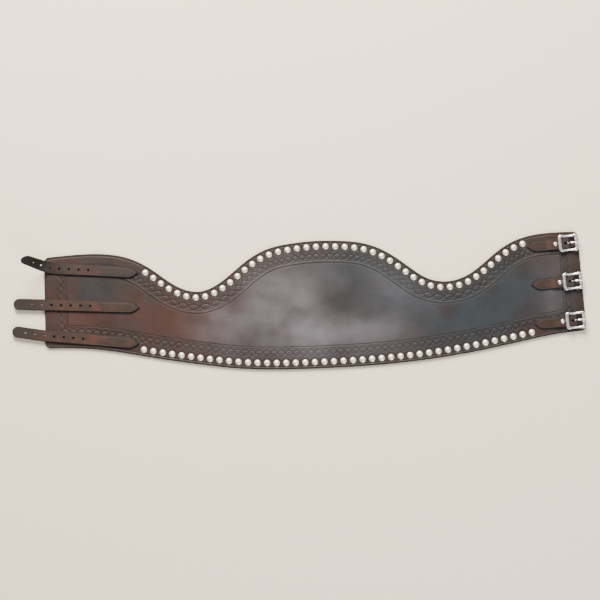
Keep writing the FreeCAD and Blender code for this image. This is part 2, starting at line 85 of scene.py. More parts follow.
def ease(value: Array) -> Array:
    """Smooth step: 3v^2 - 2v^3 of the value held between 0 and 1."""
    held = np.clip(value, 0.0, 1.0)
    return held * held * (3.0 - 2.0 * held)


def ridge(distance: Array, width: float) -> Array:
    """Bell curve exp(-(distance / width)^2), 1 on a line and near 0 two widths away from it."""
    return np.exp(-(distance / width) ** 2)


def rounding(inset: Array, radius: float) -> Array:
    """Height lost to a rounded edge: r - sqrt(r^2 - (r - inset)^2) within r of the edge, else 0."""
    into = radius - np.clip(inset, 0.0, radius)
    return radius - np.sqrt(radius ** 2 - into ** 2)


def ripple(x: Array, y: Array, wavelength: float, seed: int) -> Array:
    """Irregular waves: the mean of eight sines with seeded directions, lengths and phases.

    Args:
        x: Places along the belt.
        y: Places across it.
        wavelength: Typical distance between crests.
        seed: Number that fixes the pattern.

    Returns:
        Values mostly between -1 and 1.
    """
    rng = np.random.default_rng(seed)
    heading, phase = rng.uniform(0.0, 2.0 * np.pi, (2, 8))
    pull = 2.0 * np.pi / (wavelength * rng.uniform(0.7, 1.5, 8))
    waves = np.sin(x[..., None] * (pull * np.cos(heading)) + y[..., None] * (pull * np.sin(heading)) + phase)
    return waves.mean(axis=-1) * 1.8


@dataclass
class Shell:
    """A closed surface as points and faces.

    Attributes:
        points: One row of x, y, z per point.
        faces: Arrays of point numbers, one row per face and one array per number of corners.
        finishes: Material slot number of each array of faces.
        marks: For each array, every corner's place on the leather: distance along, inset from edge.
        tones: Named values per point that the materials read.
    """

    points: Array
    faces: list[Array]
    finishes: list[int]
    marks: list[Array] = field(default_factory=list)
    tones: dict[str, Array] = field(default_factory=dict)

    def volume(self) -> float:
        """Signed volume: a sixth of the sum of triple products over a fan of each face."""
        total = 0.0
        for faces in self.faces:
            corner = self.points[faces]
            for k in range(1, faces.shape[1] - 1):
                total += np.einsum("ij,ij->", corner[:, 0], np.cross(corner[:, k], corner[:, k + 1])) / 6.0
        return total

    def outward(self) -> "Shell":
        """The same surface with its faces turned to point outwards."""
        if self.volume() < 0.0:
            self.faces = [faces[:, ::-1] for faces in self.faces]
            self.marks = [marks[:, ::-1] for marks in self.marks]
        return self


def joined(shells: list[Shell]) -> Shell:
    """Several plain shells with the same kinds of face, as one.

    Args:
        shells: The shells.

    Returns:
        One shell.
    """
    starts = np.cumsum([0] + [len(shell.points) for shell in shells])
    kinds = range(len(shells[0].faces))
    faces = [np.concatenate([shell.faces[k] + start for shell, start in zip(shells, starts)]) for k in kinds]
    tones = {name: np.concatenate([shell.tones[name] for shell in shells]) for name in shells[0].tones}
    return Shell(np.concatenate([shell.points for shell in shells]), faces, shells[0].finishes, [], tones)


def side_by_side(first: Shell, second: Shell) -> Shell:
    """Two metal shells with different kinds of face, as one in a single finish.

    Args:
        first: One shell with a tone of grime and painted shade.
        second: The other.

    Returns:
        Both together.
    """
    faces = first.faces + [part + len(first.points) for part in second.faces]
    soil_and_shade = np.concatenate([first.tones["soil_and_shade"], second.tones["soil_and_shade"]])
    return Shell(np.concatenate([first.points, second.points]), faces, [0] * len(faces), [], {"soil_and_shade": soil_and_shade})


def loft(rings: Array) -> list[Array]:
    """Faces of a tube through closed rings of points, with a cap on each end.

    Args:
        rings: Points as (ring, place round the ring, 3).

    Returns:
        The quads between rings, and the two caps.
    """
    count, around = rings.shape[:2]
    here = np.arange(around)
    after = (here + 1) % around
    start = (np.arange(count - 1) * around)[:, None]
    quads = np.stack([start + here, start + after, start + around + after, start + around + here], axis=-1)
    caps = np.stack([here[::-1], here + (count - 1) * around])
    return [quads.reshape(-1, 4), caps]


def lathe(profile: Array, sides: int) -> Shell:
    """Surface of revolution about Z: each profile point (radius, height) becomes a ring.

    Args:
        profile: Radius and height from one pole to the other, both radii small but above 0.
        sides: Number of points in each ring.

    Returns:
        A closed shell.
    """
    turn = np.linspace(0.0, 2.0 * np.pi, sides, endpoint=False)
    rings = np.stack([
        profile[:, :1] * np.cos(turn), profile[:, :1] * np.sin(turn),
        np.repeat(profile[:, 1:], sides, axis=1)], axis=-1)
    return Shell(rings.reshape(-1, 3), loft(rings), [0, 0]).outward()


def tube(path: Array, radii: Array, sides: int, flatten: float = 1.0) -> Shell:
    """Round bar along a path in the XZ plane: a circle in the plane across the path at each point.

    Args:
        path: Points as (x, z).
        radii: Radius at each point.
        sides: Number of points in each ring.
        flatten: Share of the radius kept across Y.

    Returns:
        A closed shell.
    """
    ahead = np.gradient(path, axis=0)
    ahead /= np.linalg.norm(ahead, axis=1)[:, None]
    turn = np.linspace(0.0, 2.0 * np.pi, sides, endpoint=False)
    up = np.stack([-ahead[:, 1], ahead[:, 0]], axis=-1)
    rise = radii[:, None] * np.cos(turn)
    rings = np.stack([
        path[:, :1] + up[:, :1] * rise, radii[:, None] * np.sin(turn) * flatten,
        path[:, 1:] + up[:, 1:] * rise], axis=-1)
    return Shell(rings.reshape(-1, 3), loft(rings), [0, 0]).outward()


def placed(shell: Shell, at: Array, turn: float) -> Shell:
    """A copy of a shell, turned about Z and moved to a place.

    Args:
        shell: What is copied.
        at: Where its origin goes.
        turn: Angle in radians.

    Returns:
        The copy.
    """
    c, s = math.cos(turn), math.sin(turn)
    spin = np.array([[c, s, 0.0], [-s, c, 0.0], [0.0, 0.0, 1.0]])
    return Shell(shell.points @ spin + np.asarray(at), shell.faces, shell.finishes, shell.marks, shell.tones)


def make_object(name: str, shell: Shell, materials: list[bpy.types.Material],
                crease: float = 40.0) -> bpy.types.Object:
    """Put a shell into a mesh object at the origin.

    Args:
        name: Name of the piece.
        shell: Its surface.
        materials: Its material slots.
        crease: Angle in degrees between faces above which an edge is drawn sharp.

    Returns:
        The object.
    """
    mesh = bpy.data.meshes.new(name)
    totals = np.concatenate([np.full(len(f), f.shape[1]) for f in shell.faces])
    corners = np.concatenate([f.ravel() for f in shell.faces])
    mesh.vertices.add(len(shell.points))
    mesh.vertices.foreach_set("co", shell.points.astype(np.float32).ravel())
    mesh.loops.add(len(corners))
    mesh.loops.foreach_set("vertex_index", corners.astype(np.int32))
    mesh.polygons.add(len(totals))
    mesh.polygons.foreach_set("loop_start", np.concatenate([[0], np.cumsum(totals)[:-1]]).astype(np.int32))
    slots = np.concatenate([np.full(len(f), slot) for f, slot in zip(shell.faces, shell.finishes)])
    mesh.polygons.foreach_set("material_index", slots.astype(np.int32))
    for material in materials:
        mesh.materials.append(material)
    if shell.marks:
        flat = np.concatenate([marks.reshape(-1, 2) for marks in shell.marks])
        mesh.uv_layers.new(name="edge").data.foreach_set("uv", flat.astype(np.float32).ravel())
    for tone, values in shell.tones.items():
        mesh.attributes.new(tone, "FLOAT", "POINT").data.foreach_set("value", values.astype(np.float32))
    mesh.update(calc_edges=True)
    mesh.validate()
    mesh.shade_smooth()
    mesh.set_sharp_from_angle(angle=math.radians(crease))
    piece = bpy.data.objects.new(name, mesh)
    bpy.context.scene.collection.objects.link(piece)
    return piece


def cut_away(piece: bpy.types.Object, cutters: Shell, crease: float = 40.0) -> None:
    """Take the cutters' space out of a piece for good.

    Args:
        piece: The object that is cut.
        cutters: Closed shells that don't touch each other.
        crease: Angle in degrees above which the new edges are drawn sharp.
    """
    tool = make_object(piece.name + "_tool", cutters, [])
    step = piece.modifiers.new("cut", "BOOLEAN")
    step.operation, step.solver, step.object = "DIFFERENCE", "EXACT", tool
    bpy.context.view_layer.update()
    done = bpy.data.meshes.new_from_object(piece.evaluated_get(bpy.context.evaluated_depsgraph_get()))
    piece.modifiers.clear()
    piece.data = done
    piece.data.shade_smooth()
    piece.data.set_sharp_from_angle(angle=math.radians(crease))
    bpy.data.objects.remove(tool)


# ---------------------------------------------------------------- the belt's outline
class Curve:
    """Smooth line through stations: a natural cubic spline in x and y over the chord length."""

    def __init__(self, stations: Array) -> None:
        """Solve for the second derivatives that make the spline smooth.

        Args:
            stations: Points as (x, y).
        """
        self.points = stations
        gaps = np.linalg.norm(np.diff(stations, axis=0), axis=1)
        self.knots = np.concatenate([[0.0], np.cumsum(gaps)])
        count = len(stations)
        system, right = np.eye(count), np.zeros((count, 2))
        inner = np.arange(1, count - 1)
        system[inner, inner - 1], system[inner, inner + 1] = gaps[:-1], gaps[1:]
        system[inner, inner] = 2.0 * (gaps[:-1] + gaps[1:])
        slopes = np.diff(stations, axis=0) / gaps[:, None]
        right[1:-1] = 6.0 * np.diff(slopes, axis=0)
        self.bends = np.linalg.solve(system, right)
        self.fine = np.linspace(0.0, self.knots[-1], 4001)
        self.fine_points = self.at(self.fine)
        steps = np.linalg.norm(np.diff(self.fine_points, axis=0), axis=1)
        self.travelled = np.concatenate([[0.0], np.cumsum(steps)])

    def at(self, t: Array, order: int = 0) -> Array:
        """Evaluate the spline.

        Args:
            t: Distances along the chords.
            order: 0 for the place, 1 for the direction, 2 for the bending.

        Returns:
            One x, y row for each t.
        """
        i = np.clip(np.searchsorted(self.knots, t) - 1, 0, len(self.knots) - 2)
        h = (self.knots[i + 1] - self.knots[i])[..., None]
        a, b = (self.knots[i + 1] - t)[..., None] / h, (t - self.knots[i])[..., None] / h
        p, q, m, n = self.points[i], self.points[i + 1], self.bends[i], self.bends[i + 1]
        if order == 0:
            return a * p + b * q + ((a ** 3 - a) * m + (b ** 3 - b) * n) * h ** 2 / 6.0
        if order == 1:
            return (q - p) / h + (-(3.0 * a ** 2 - 1.0) * m + (3.0 * b ** 2 - 1.0) * n) * h / 6.0
        return a * m + b * n

    def height(self, x: Array) -> Array:
        """Y of the line over each x, read off its fine points."""
        return np.interp(x, self.fine_points[:, 0], self.fine_points[:, 1])

    def nearest(self, x: Array, y: Array) -> tuple[Array, Array]:
        """Foot of the perpendicular from each point, by Newton steps on (P(t) - Q).P'(t) = 0.

        Args:
            x: Places along the belt.
            y: Places across it.

        Returns:
            Distance to the line, positive on its right, and distance travelled along it.
        """
        coarse = self.fine[::20]
        marks = self.fine_points[::20]
        flat = np.stack([x.ravel(), y.ravel()], axis=-1)
        t = np.concatenate([
            coarse[((part[:, None, :] - marks) ** 2).sum(axis=-1).argmin(axis=1)]
            for part in np.array_split(flat, max(1, len(flat) // 20000))])
        for _ in range(5):
            away, ahead, bend = self.at(t) - flat, self.at(t, 1), self.at(t, 2)
            slope = (ahead ** 2).sum(axis=-1) + (away * bend).sum(axis=-1)
            step = (away * ahead).sum(axis=-1) / np.maximum(slope, 0.2)
            t = np.clip(t - np.clip(step, -5.0 * MM, 5.0 * MM), 0.0, self.knots[-1])
        away, ahead = flat - self.at(t), self.at(t, 1)
        ahead /= np.linalg.norm(ahead, axis=1)[:, None]
        right = away[:, 0] * ahead[:, 1] - away[:, 1] * ahead[:, 0]
        along = np.interp(t, self.fine, self.travelled)
        return right.reshape(x.shape), along.reshape(x.shape)


@dataclass(frozen=True)
class Outline:
    """Sizes of the belt's outline, as in the CAD model."""

    left_reach: float = 455.0 * MM
    right_reach: float = 439.0 * MM
    top_height: float = 108.0 * MM
    bottom_depth: float = 106.4 * MM
    corner_radius: float = 8.0 * MM
    splay_left: float = 1.5 * MM
    splay_right: float = 5.0 * MM
    splay_run: float = 60.0 * MM
    top_stations: tuple = (
        (-1.00, 0.925), (-0.89, 0.951), (-0.78, 0.942), (-0.69, 0.860), (-0.60, 0.648), (-0.51, 0.374),
        (-0.435, 0.290), (-0.36, 0.405), (-0.27, 0.694), (-0.18, 0.903), (-0.09, 0.976), (0.00, 1.000),
        (0.09, 0.985), (0.18, 0.932), (0.27, 0.776), (0.36, 0.502), (0.425, 0.329), (0.49, 0.276),
        (0.56, 0.336), (0.65, 0.578), (0.73, 0.808), (0.81, 0.923), (0.90, 0.962), (1.00, 0.958))
    bottom_stations: tuple = (
        (-1.00, 0.492), (-0.88, 0.515), (-0.74, 0.600), (-0.60, 0.725), (-0.45, 0.845), (-0.28, 0.952),
        (-0.10, 0.994), (0.04, 1.000), (0.20, 0.988), (0.40, 0.937), (0.60, 0.835), (0.78, 0.707),
        (0.90, 0.626), (1.00, 0.588))

    def edge(self, stations: tuple, rise: float) -> Curve:
        """Curve through stations.

        Args:
            stations: Shares of the reach along X and of a height along Y.
            rise: That height.

        Returns:
            The curve.
        """
        share = np.array(stations)
        reach = np.where(share[:, 0] < 0.0, self.left_reach, self.right_reach)
        return Curve(np.stack([share[:, 0] * reach, share[:, 1] * rise], axis=-1))

    def top(self) -> Curve:
        """The double-dipped edge, from the billets to the buckles."""
        return self.edge(self.top_stations, self.top_height)

    def bottom(self) -> Curve:
        """The bowed edge, from the billets to the buckles."""
        return self.edge(self.bottom_stations, -self.bottom_depth)


# ---------------------------------------------------------------- finishes
Value = float | bpy.types.NodeSocket
Colour = str | bpy.types.NodeSocket


def add_node(tree: bpy.types.NodeTree, kind: str, inputs: dict, **settings: object) -> bpy.types.Node:
    """Add one node with its settings, and link or set its inputs.

    Args:
        tree: The material's node tree.
        kind: Node type name.
        inputs: Socket or plain value by input name or number.
        settings: Properties of the node itself.

    Returns:
        The node.
    """
    node = tree.nodes.new(kind)
    for key, value in settings.items():
        setattr(node, key, value)
    for key, value in inputs.items():
        if isinstance(value, bpy.types.NodeSocket):
            tree.links.new(value, node.inputs[key])
        else:
            node.inputs[key].default_value = value
    return node


class Recipe:
    """A material under construction: short names for the few nodes that all finishes use."""

    def __init__(self, name: str) -> None:
        """Start a material with nothing in it but its output."""
        self.material = bpy.data.materials.new(name)
        self.material.use_nodes = True
        self.tree = self.material.node_tree
        self.tree.nodes.clear()
        self.place = add_node(self.tree, "ShaderNodeTexCoord", {}).outputs["Object"]

    def blend(self, share: Value, first: Colour, second: Colour) -> bpy.types.NodeSocket:
        """Mix two colours.

        Args:
            share: How much of the second colour, from 0 to 1.
            first: Hex colour or socket.
            second: Hex colour or socket.

        Returns:
            The mixed colour.
        """
        ends = [linear(c) if isinstance(c, str) else c for c in (first, second)]
        node = add_node(self.tree, "ShaderNodeMix", {0: share, 6: ends[0], 7: ends[1]}, data_type="RGBA")
        return node.outputs[2]

    def sum(self, operation: str, first: Value, second: Value = 0.0, third: Value = 0.0) -> bpy.types.NodeSocket:
        """One step of arithmetic on sockets or numbers."""
        node = add_node(self.tree, "ShaderNodeMath", {0: first, 1: second, 2: third}, operation=operation)
        return node.outputs[0]

    def span(self, value: Value, low: float, high: float,
             to_low: float = 0.0, to_high: float = 1.0) -> bpy.types.NodeSocket:
        """Smooth step of a value from one range to another.

        Args:
            value: What is stepped.
            low: Where the step starts.
            high: Where it ends.
            to_low: Result up to its start.
            to_high: Result past its end.

        Returns:
            The stepped value.
        """
        node = add_node(self.tree, "ShaderNodeMapRange", {
            "Value": value, "From Min": low, "From Max": high, "To Min": to_low, "To Max": to_high},
            interpolation_type="SMOOTHSTEP")
        return node.outputs[0]

    def noise(self, size: float, detail: float = 3.0, stretch: tuple[float, float, float] = (1.0, 1.0, 1.0),
              shift: tuple[float, float, float] = (0.0, 0.0, 0.0)) -> bpy.types.NodeSocket:
        """Cloudy pattern.

        Args:
            size: Rough width of a cloud, in metres.
            detail: Number of finer layers.
            stretch: Scale of the place along each axis.
            shift: Move of the place.

        Returns:
            Values round a half.
        """
        spot = add_node(self.tree, "ShaderNodeMapping", {
            "Vector": self.place, "Scale": stretch, "Location": shift}).outputs[0]
        node = add_node(self.tree, "ShaderNodeTexNoise", {
            "Vector": spot, "Scale": 1.0 / size, "Detail": detail, "Roughness": 0.55})
        return node.outputs[0]

    def pebbles(self, size: float) -> bpy.types.NodeSocket:
        """Distance to the nearest of many seeds about size metres apart."""
        node = add_node(self.tree, "ShaderNodeTexVoronoi", {"Vector": self.place, "Scale": 1.0 / size})
        return node.outputs[0]

    def tone(self, name: str) -> bpy.types.NodeSocket:
        """One of the piece's own values."""
        return add_node(self.tree, "ShaderNodeAttribute", {}, attribute_name=name).outputs["Fac"]

    def edge(self) -> tuple[bpy.types.NodeSocket, bpy.types.NodeSocket]:
        """Distance along the leather's edge, and inset from it, in metres."""
        mark = add_node(self.tree, "ShaderNodeUVMap", {}, uv_map="edge").outputs[0]
        parts = add_node(self.tree, "ShaderNodeSeparateXYZ", {0: mark}).outputs
        return parts[0], parts[1]

    def relief(self, *layers: tuple[bpy.types.NodeSocket, float]) -> bpy.types.NodeSocket:
        """Stack bumps.

        Args:
            layers: Height pattern from 0 to 1 and its depth in metres, for each bump.

        Returns:
            The bumped normal.
        """
        normal = None
        for height, depth in layers:
            inputs = {"Height": height, "Distance": depth, "Strength": 1.0}
            if normal is not None:
                inputs["Normal"] = normal
            normal = add_node(self.tree, "ShaderNodeBump", inputs).outputs[0]
        return normal

    def finish(self, **sockets: object) -> bpy.types.Material:
        """Close the material with its shader.

        Args:
            sockets: Shader inputs by name, with underscores for spaces.

        Returns:
            The material.
        """
        inputs = {name.replace("_", " "): value for name, value in sockets.items()}
        shader = add_node(self.tree, "ShaderNodeBsdfPrincipled", inputs)
        add_node(self.tree, "ShaderNodeOutputMaterial", {"Surface": shader.outputs[0]})
        return self.material


@dataclass(frozen=True)
class TooledLeather:
    """Oiled bridle leather, hand dyed: clouds of red-brown and blue-black, with a painted sheen of lilac-grey and
    blue-grey clouds for the sky's reflection on the waxed face, black rubbed edges, dark tooling.
    """

    brown: str = "#28170f"
    red: str = "#3a1a10"
    slate: str = "#1b2227"
    pale: str = "#5c585d"
    dark: str = "#131110"
    burnish: str = "#090604"
    edge_width: float = 2.6 * MM
    crease_inset: float = 37.0 * MM
    crease_width: float = 1.1 * MM
    cloud: float = 45.0 * MM
    grain: float = 1.1 * MM

    def material(self) -> bpy.types.Material:
        """Colour follows the piece's tones, broken up by clouds and streaks; grain is fine pebbling."""
        mix = Recipe("tooled_bridle_leather")
        _, inset = mix.edge()
        cloud = mix.noise(self.cloud, 5.0)
        streak = mix.noise(34.0 * MM, 4.0, stretch=(0.8, 1.0, 1.0), shift=(0.3, 0.1, 0.0))
        colour = mix.blend(mix.span(cloud, 0.35, 0.7, 0.0, 0.5), self.brown, self.dark)
        red = mix.sum("MULTIPLY", mix.tone("red"), mix.span(streak, 0.2, 0.65, 0.3, 1.0))
        colour = mix.blend(red, colour, self.red)
        # Blue-grey: blue-black dye clouds, with a painted reflection of the cool sky on the glossy face.
        slate = mix.sum("MULTIPLY", mix.tone("slate"), mix.span(cloud, 0.1, 0.5))
        colour = mix.blend(slate, colour, self.slate)
        # Painted sheen: lilac-grey clouds standing in for the sky reflected off the waxed face.
        pale = mix.sum("MULTIPLY", mix.tone("pale"), mix.span(streak, 0.1, 0.75, 0.35, 1.0))
        colour = mix.blend(pale, colour, self.pale)
        colour = mix.blend(mix.tone("dark"), colour, self.dark)
        # The tooled tone holds the tooling's darkness and the painted shade round the spots.
        colour = mix.blend(mix.tone("tooled"), colour, self.burnish)
        off_crease = mix.sum("ABSOLUTE", mix.sum("SUBTRACT", inset, self.crease_inset))
        colour = mix.blend(mix.span(off_crease, 0.3 * self.crease_width, self.crease_width, 0.85, 0.0),
                           colour, self.burnish)
        worn = mix.sum("MULTIPLY_ADD", mix.noise(9.0 * MM), 2.4 * MM, inset)
        rim = mix.span(worn, self.edge_width, self.edge_width + 2.2 * MM, 0.92, 0.0)
        colour = mix.blend(rim, colour, self.burnish)
        by_crease = mix.span(off_crease, self.crease_width, 2.5 * self.crease_width, 1.0, 0.0)
        dull = mix.sum("MAXIMUM", rim, by_crease)
        rough = mix.sum("MULTIPLY_ADD", dull, 0.3, mix.span(cloud, 0.3, 0.7, 0.42, 0.54))
        normal = mix.relief((mix.pebbles(self.grain), 0.05 * MM), (mix.noise(5.0 * MM, 6.0), 0.12 * MM))
        return mix.finish(Base_Color=colour, Roughness=rough, Normal=normal, IOR=WAXED_IOR)


@dataclass(frozen=True)
class StrapLeather:
    """Strap leather cut from the same hide: smooth face, blackened edges and a creased stitching line."""

    name: str
    face: str = "#291a12"
    warm: str = "#3d1b10"
    darkened_and_shaded: str = "#110907"
    burnish: str = "#070403"
    stitch_inset: float = 2.4 * MM
    grain: float = 0.9 * MM

    def material(self) -> bpy.types.Material:
        """Warm patches on a brown face, darkened towards the tip and in the groove, with painted shade round the
        holes, on the tab towards the buckle and over the top billet.
        """
        mix = Recipe(self.name)
        _, inset = mix.edge()
        patch = mix.noise(22.0 * MM, 4.0, shift=(0.1, 0.4, 0.0))
        colour = mix.blend(mix.span(patch, 0.42, 0.66), self.face, self.warm)
        # Dark tone: darker towards a strap's tip, plus painted shade round the holes, on the tab near the buckle
        # and over the top billet.
        colour = mix.blend(mix.tone("darkened_and_shaded"), colour, self.darkened_and_shaded)
        off_groove = mix.sum("ABSOLUTE", mix.sum("SUBTRACT", inset, self.stitch_inset))
        groove = mix.sum("MULTIPLY", mix.span(off_groove, 0.3 * MM, 1.1 * MM, 0.8, 0.0), mix.tone("stitched"))
        colour = mix.blend(groove, colour, self.burnish)
        rim = mix.span(inset, 0.5 * MM, 1.9 * MM, 0.95, 0.0)
        colour = mix.blend(rim, colour, self.burnish)
        dull = mix.sum("MAXIMUM", mix.sum("MAXIMUM", rim, groove), mix.sum("MULTIPLY", mix.tone("darkened_and_shaded"), 0.7))
        rough = mix.sum("MULTIPLY_ADD", dull, 0.32, mix.span(patch, 0.3, 0.7, 0.44, 0.54))
        normal = mix.relief((mix.pebbles(self.grain), 0.04 * MM), (mix.noise(4.0 * MM, 5.0), 0.1 * MM))
        return mix.finish(Base_Color=colour, Roughness=rough, Normal=normal, IOR=WAXED_IOR)


@dataclass(frozen=True)
class FleshSide:
    """Back of the hide, shaved and glued down smooth: paler, matt and fibrous."""

    fibre: str = "#5b3f30"
    shade: str = "#3d291f"
    hair: float = 1.6 * MM

    def material(self) -> bpy.types.Material:
        """Two browns in soft clouds under short fibres that make the surface matt."""
        mix = Recipe("leather_flesh_side")
        fibre = mix.noise(self.hair, 6.0, stretch=(0.5, 1.0, 1.0))
        colour = mix.blend(mix.noise(35.0 * MM, 4.0), self.fibre, self.shade)
        colour = mix.blend(mix.span(fibre, 0.45, 0.7, 0.0, 0.5), colour, self.shade)
        return mix.finish(Base_Color=colour, Roughness=0.85, Normal=mix.relief((fibre, 0.25 * MM)), IOR=1.45)


@dataclass(frozen=True)
class Nickel:
    """Nickel-plated brass, pressed or cast and polished: warm white metal with dull grimy hollows, and painted
    shade round the foot of each spot.
    """

    name: str
    metal: str = "#f6f0e0"
    soil_and_shade_tint: str = "#4a4032"
    satin: float = 0.26

    def material(self) -> bpy.types.Material:
        """Mirror-like metal with faint handling marks; grime, and on the spots painted shade, darken it where the
        piece says so.
        """
        mix = Recipe(self.name)
        marks = mix.noise(2.2 * MM, 5.0)
        colour = mix.blend(mix.tone("soil_and_shade"), self.metal, self.soil_and_shade_tint)
        clean = mix.span(marks, 0.3, 0.75, self.satin, self.satin + 0.12)
        rough = mix.sum("MULTIPLY_ADD", mix.tone("soil_and_shade"), 0.3, clean)
        return mix.finish(Base_Color=colour, Metallic=1.0, Roughness=rough,
                          Normal=mix.relief((marks, 0.02 * MM)))


@dataclass(frozen=True)
class WaxedThread:
    """Waxed linen thread, hand sewn: dark brown, with the twist of its strands showing."""

    strand: str = "#1a0f0b"
    lit: str = "#2b1a13"
    twist: float = 0.7 * MM

    def material(self) -> bpy.types.Material:
        """Slanted bands a strand's twist apart, lighter on the crown of each."""
        mix = Recipe("waxed_linen_thread")
        wave = add_node(mix.tree, "ShaderNodeTexWave", {
            "Vector": mix.place, "Scale": 1.0 / (2.0 * np.pi * self.twist) * 2.0, "Distortion": 1.0},
            bands_direction="DIAGONAL").outputs[1]
        colour = mix.blend(wave, self.strand, self.lit)
        return mix.finish(Base_Color=colour, Roughness=0.5, Normal=mix.relief((wave, 0.08 * MM)), IOR=1.5)


@dataclass(frozen=True)
class PaleFloor:
    """Matt painted board under the belt."""

    paint: str = "#e8dcc4"

    def material(self) -> bpy.types.Material:
        """One plain paint with no sheen."""
        mix = Recipe("matt_pale_floor")
        return mix.finish(Base_Color=linear(self.paint), Roughness=0.95, Specular_IOR_Level=0.1)


# ---------------------------------------------------------------- the belt
class Tone(Enum):
    """Colours that the leather shows in patches: dye, and painted sheen and sky reflection."""

    RED = "red"
    SLATE = "slate"
    PALE = "pale"
    DARK = "dark"


@dataclass(frozen=True)
class Patch:
    """A soft oval of one tone on the belt's face, in millimetres."""

    tone: Tone
    x: float
    y: float
    reach_x: float
    reach_y: float
    amount: float


PATCHES = (
    Patch(Tone.RED, -400, -10, 60, 90, 0.7), Patch(Tone.RED, -230, -10, 90, 60, 0.8),
    Patch(Tone.RED, -430, 70, 60, 60, 0.8), Patch(Tone.RED, 378, 12, 26, 50, 0.5),
    Patch(Tone.RED, 425, 95, 70, 25, 0.6), Patch(Tone.RED, 395, -62, 60, 24, 0.5),
    Patch(Tone.RED, 400, 30, 36, 80, 0.45), Patch(Tone.DARK, -390, 74, 70, 22, 0.35),
    # Blue-grey patches: blue-black dye with a painted sky reflection on the glossy face.
    Patch(Tone.SLATE, 120, 20, 95, 75, 0.95), Patch(Tone.SLATE, 250, -30, 120, 70, 1.0),
    Patch(Tone.SLATE, 10, -70, 60, 30, 0.4), Patch(Tone.SLATE, -372, 42, 30, 26, 0.7),
    Patch(Tone.SLATE, 340, 20, 60, 60, 0.9), Patch(Tone.SLATE, 420, 0, 40, 80, 0.5),
    Patch(Tone.SLATE, 70, 62, 90, 40, 0.85), Patch(Tone.SLATE, -100, -10, 50, 40, 0.35),
    # Lilac-grey patches: painted sheen, placed where the glossy face reflects the sky.
    Patch(Tone.PALE, -60, 20, 80, 60, 0.8), Patch(Tone.PALE, -20, -50, 80, 36, 1.0),
    Patch(Tone.PALE, 90, -50, 60, 34, 0.55), Patch(Tone.PALE, -150, -40, 60, 40, 0.55),
    Patch(Tone.PALE, 130, 30, 60, 50, 0.3), Patch(Tone.PALE, 395, 0, 24, 50, 0.25),
    Patch(Tone.DARK, 45, 6, 40, 32, 0.65), Patch(Tone.DARK, -380, 44, 44, 34, 0.75),
    Patch(Tone.DARK, -300, 60, 60, 24, 0.5),
    Patch(Tone.DARK, -120, -55, 40, 26, 0.35), Patch(Tone.DARK, 160, 60, 40, 20, 0.3),
    Patch(Tone.DARK, -330, -30, 40, 24, 0.3),
)


@dataclass(frozen=True)
class Tooling:
    """Stamped border: a braid of two strands with an eye in each opening, run round with a wheel."""

    start: float = 19.5 * MM
    end: float = 34.0 * MM
    pitch: float = 25.0 * MM
    depth: float = 0.48 * MM
    swing: float = 0.62
    strand: float = 0.2
    rim: float = 0.96

    def pressed(self, along: Array, inset: Array) -> Array:
        """How far the stamp presses in, from 0 to 1.

        The strands are lines at v = swing sin(2 pi s / pitch) and its mirror, v being the place
        across the band from -1 to 1; the eyes are bumps halfway between crossings.

        Args:
            along: Distance along the edge.
            inset: Distance from the edge.

        Returns:
            Share of the full depth at each point.
        """
        v = (2.0 * inset - self.start - self.end) / (self.end - self.start)
        swing = self.swing * np.sin(2.0 * np.pi * along / self.pitch)
        strands = ridge(v - swing, self.strand) + ridge(v + swing, self.strand)
        off = np.abs(np.mod(along, 0.5 * self.pitch) - 0.25 * self.pitch)
        eye = ridge(np.hypot(off / (0.13 * self.pitch), v / 0.36), 1.0)
        pupil = ridge(np.hypot(off / (0.05 * self.pitch), v / 0.14), 1.0)
        rims = ridge(v - self.rim, 0.07) + ridge(v + self.rim, 0.07)
        inside = ease((1.05 - np.abs(v)) / 0.1)
        return inside * np.clip(0.3 + 0.75 * strands + 0.6 * rims - 0.35 * eye + 0.8 * pupil, 0.0, 1.1)


@dataclass(frozen=True)
class Length:
    """One length of leather: the segments it covers, and the two bodies that its bend joins."""

    name: str
    segments: tuple[str, ...]
    bodies: tuple[str, str]


LENGTHS = (
    Length("left_end", ("left_end",), ("belt_left_end", "belt_left_mid")),
    Length("left_mid", ("left_mid",), ("belt_left_mid", "belt_centre")),
    Length("centre", ("centre", "right_mid"), ("belt_centre", "belt_right_mid")),
    Length("right_end", ("right_end",), ("belt_right_mid", "belt_right_end")),
)


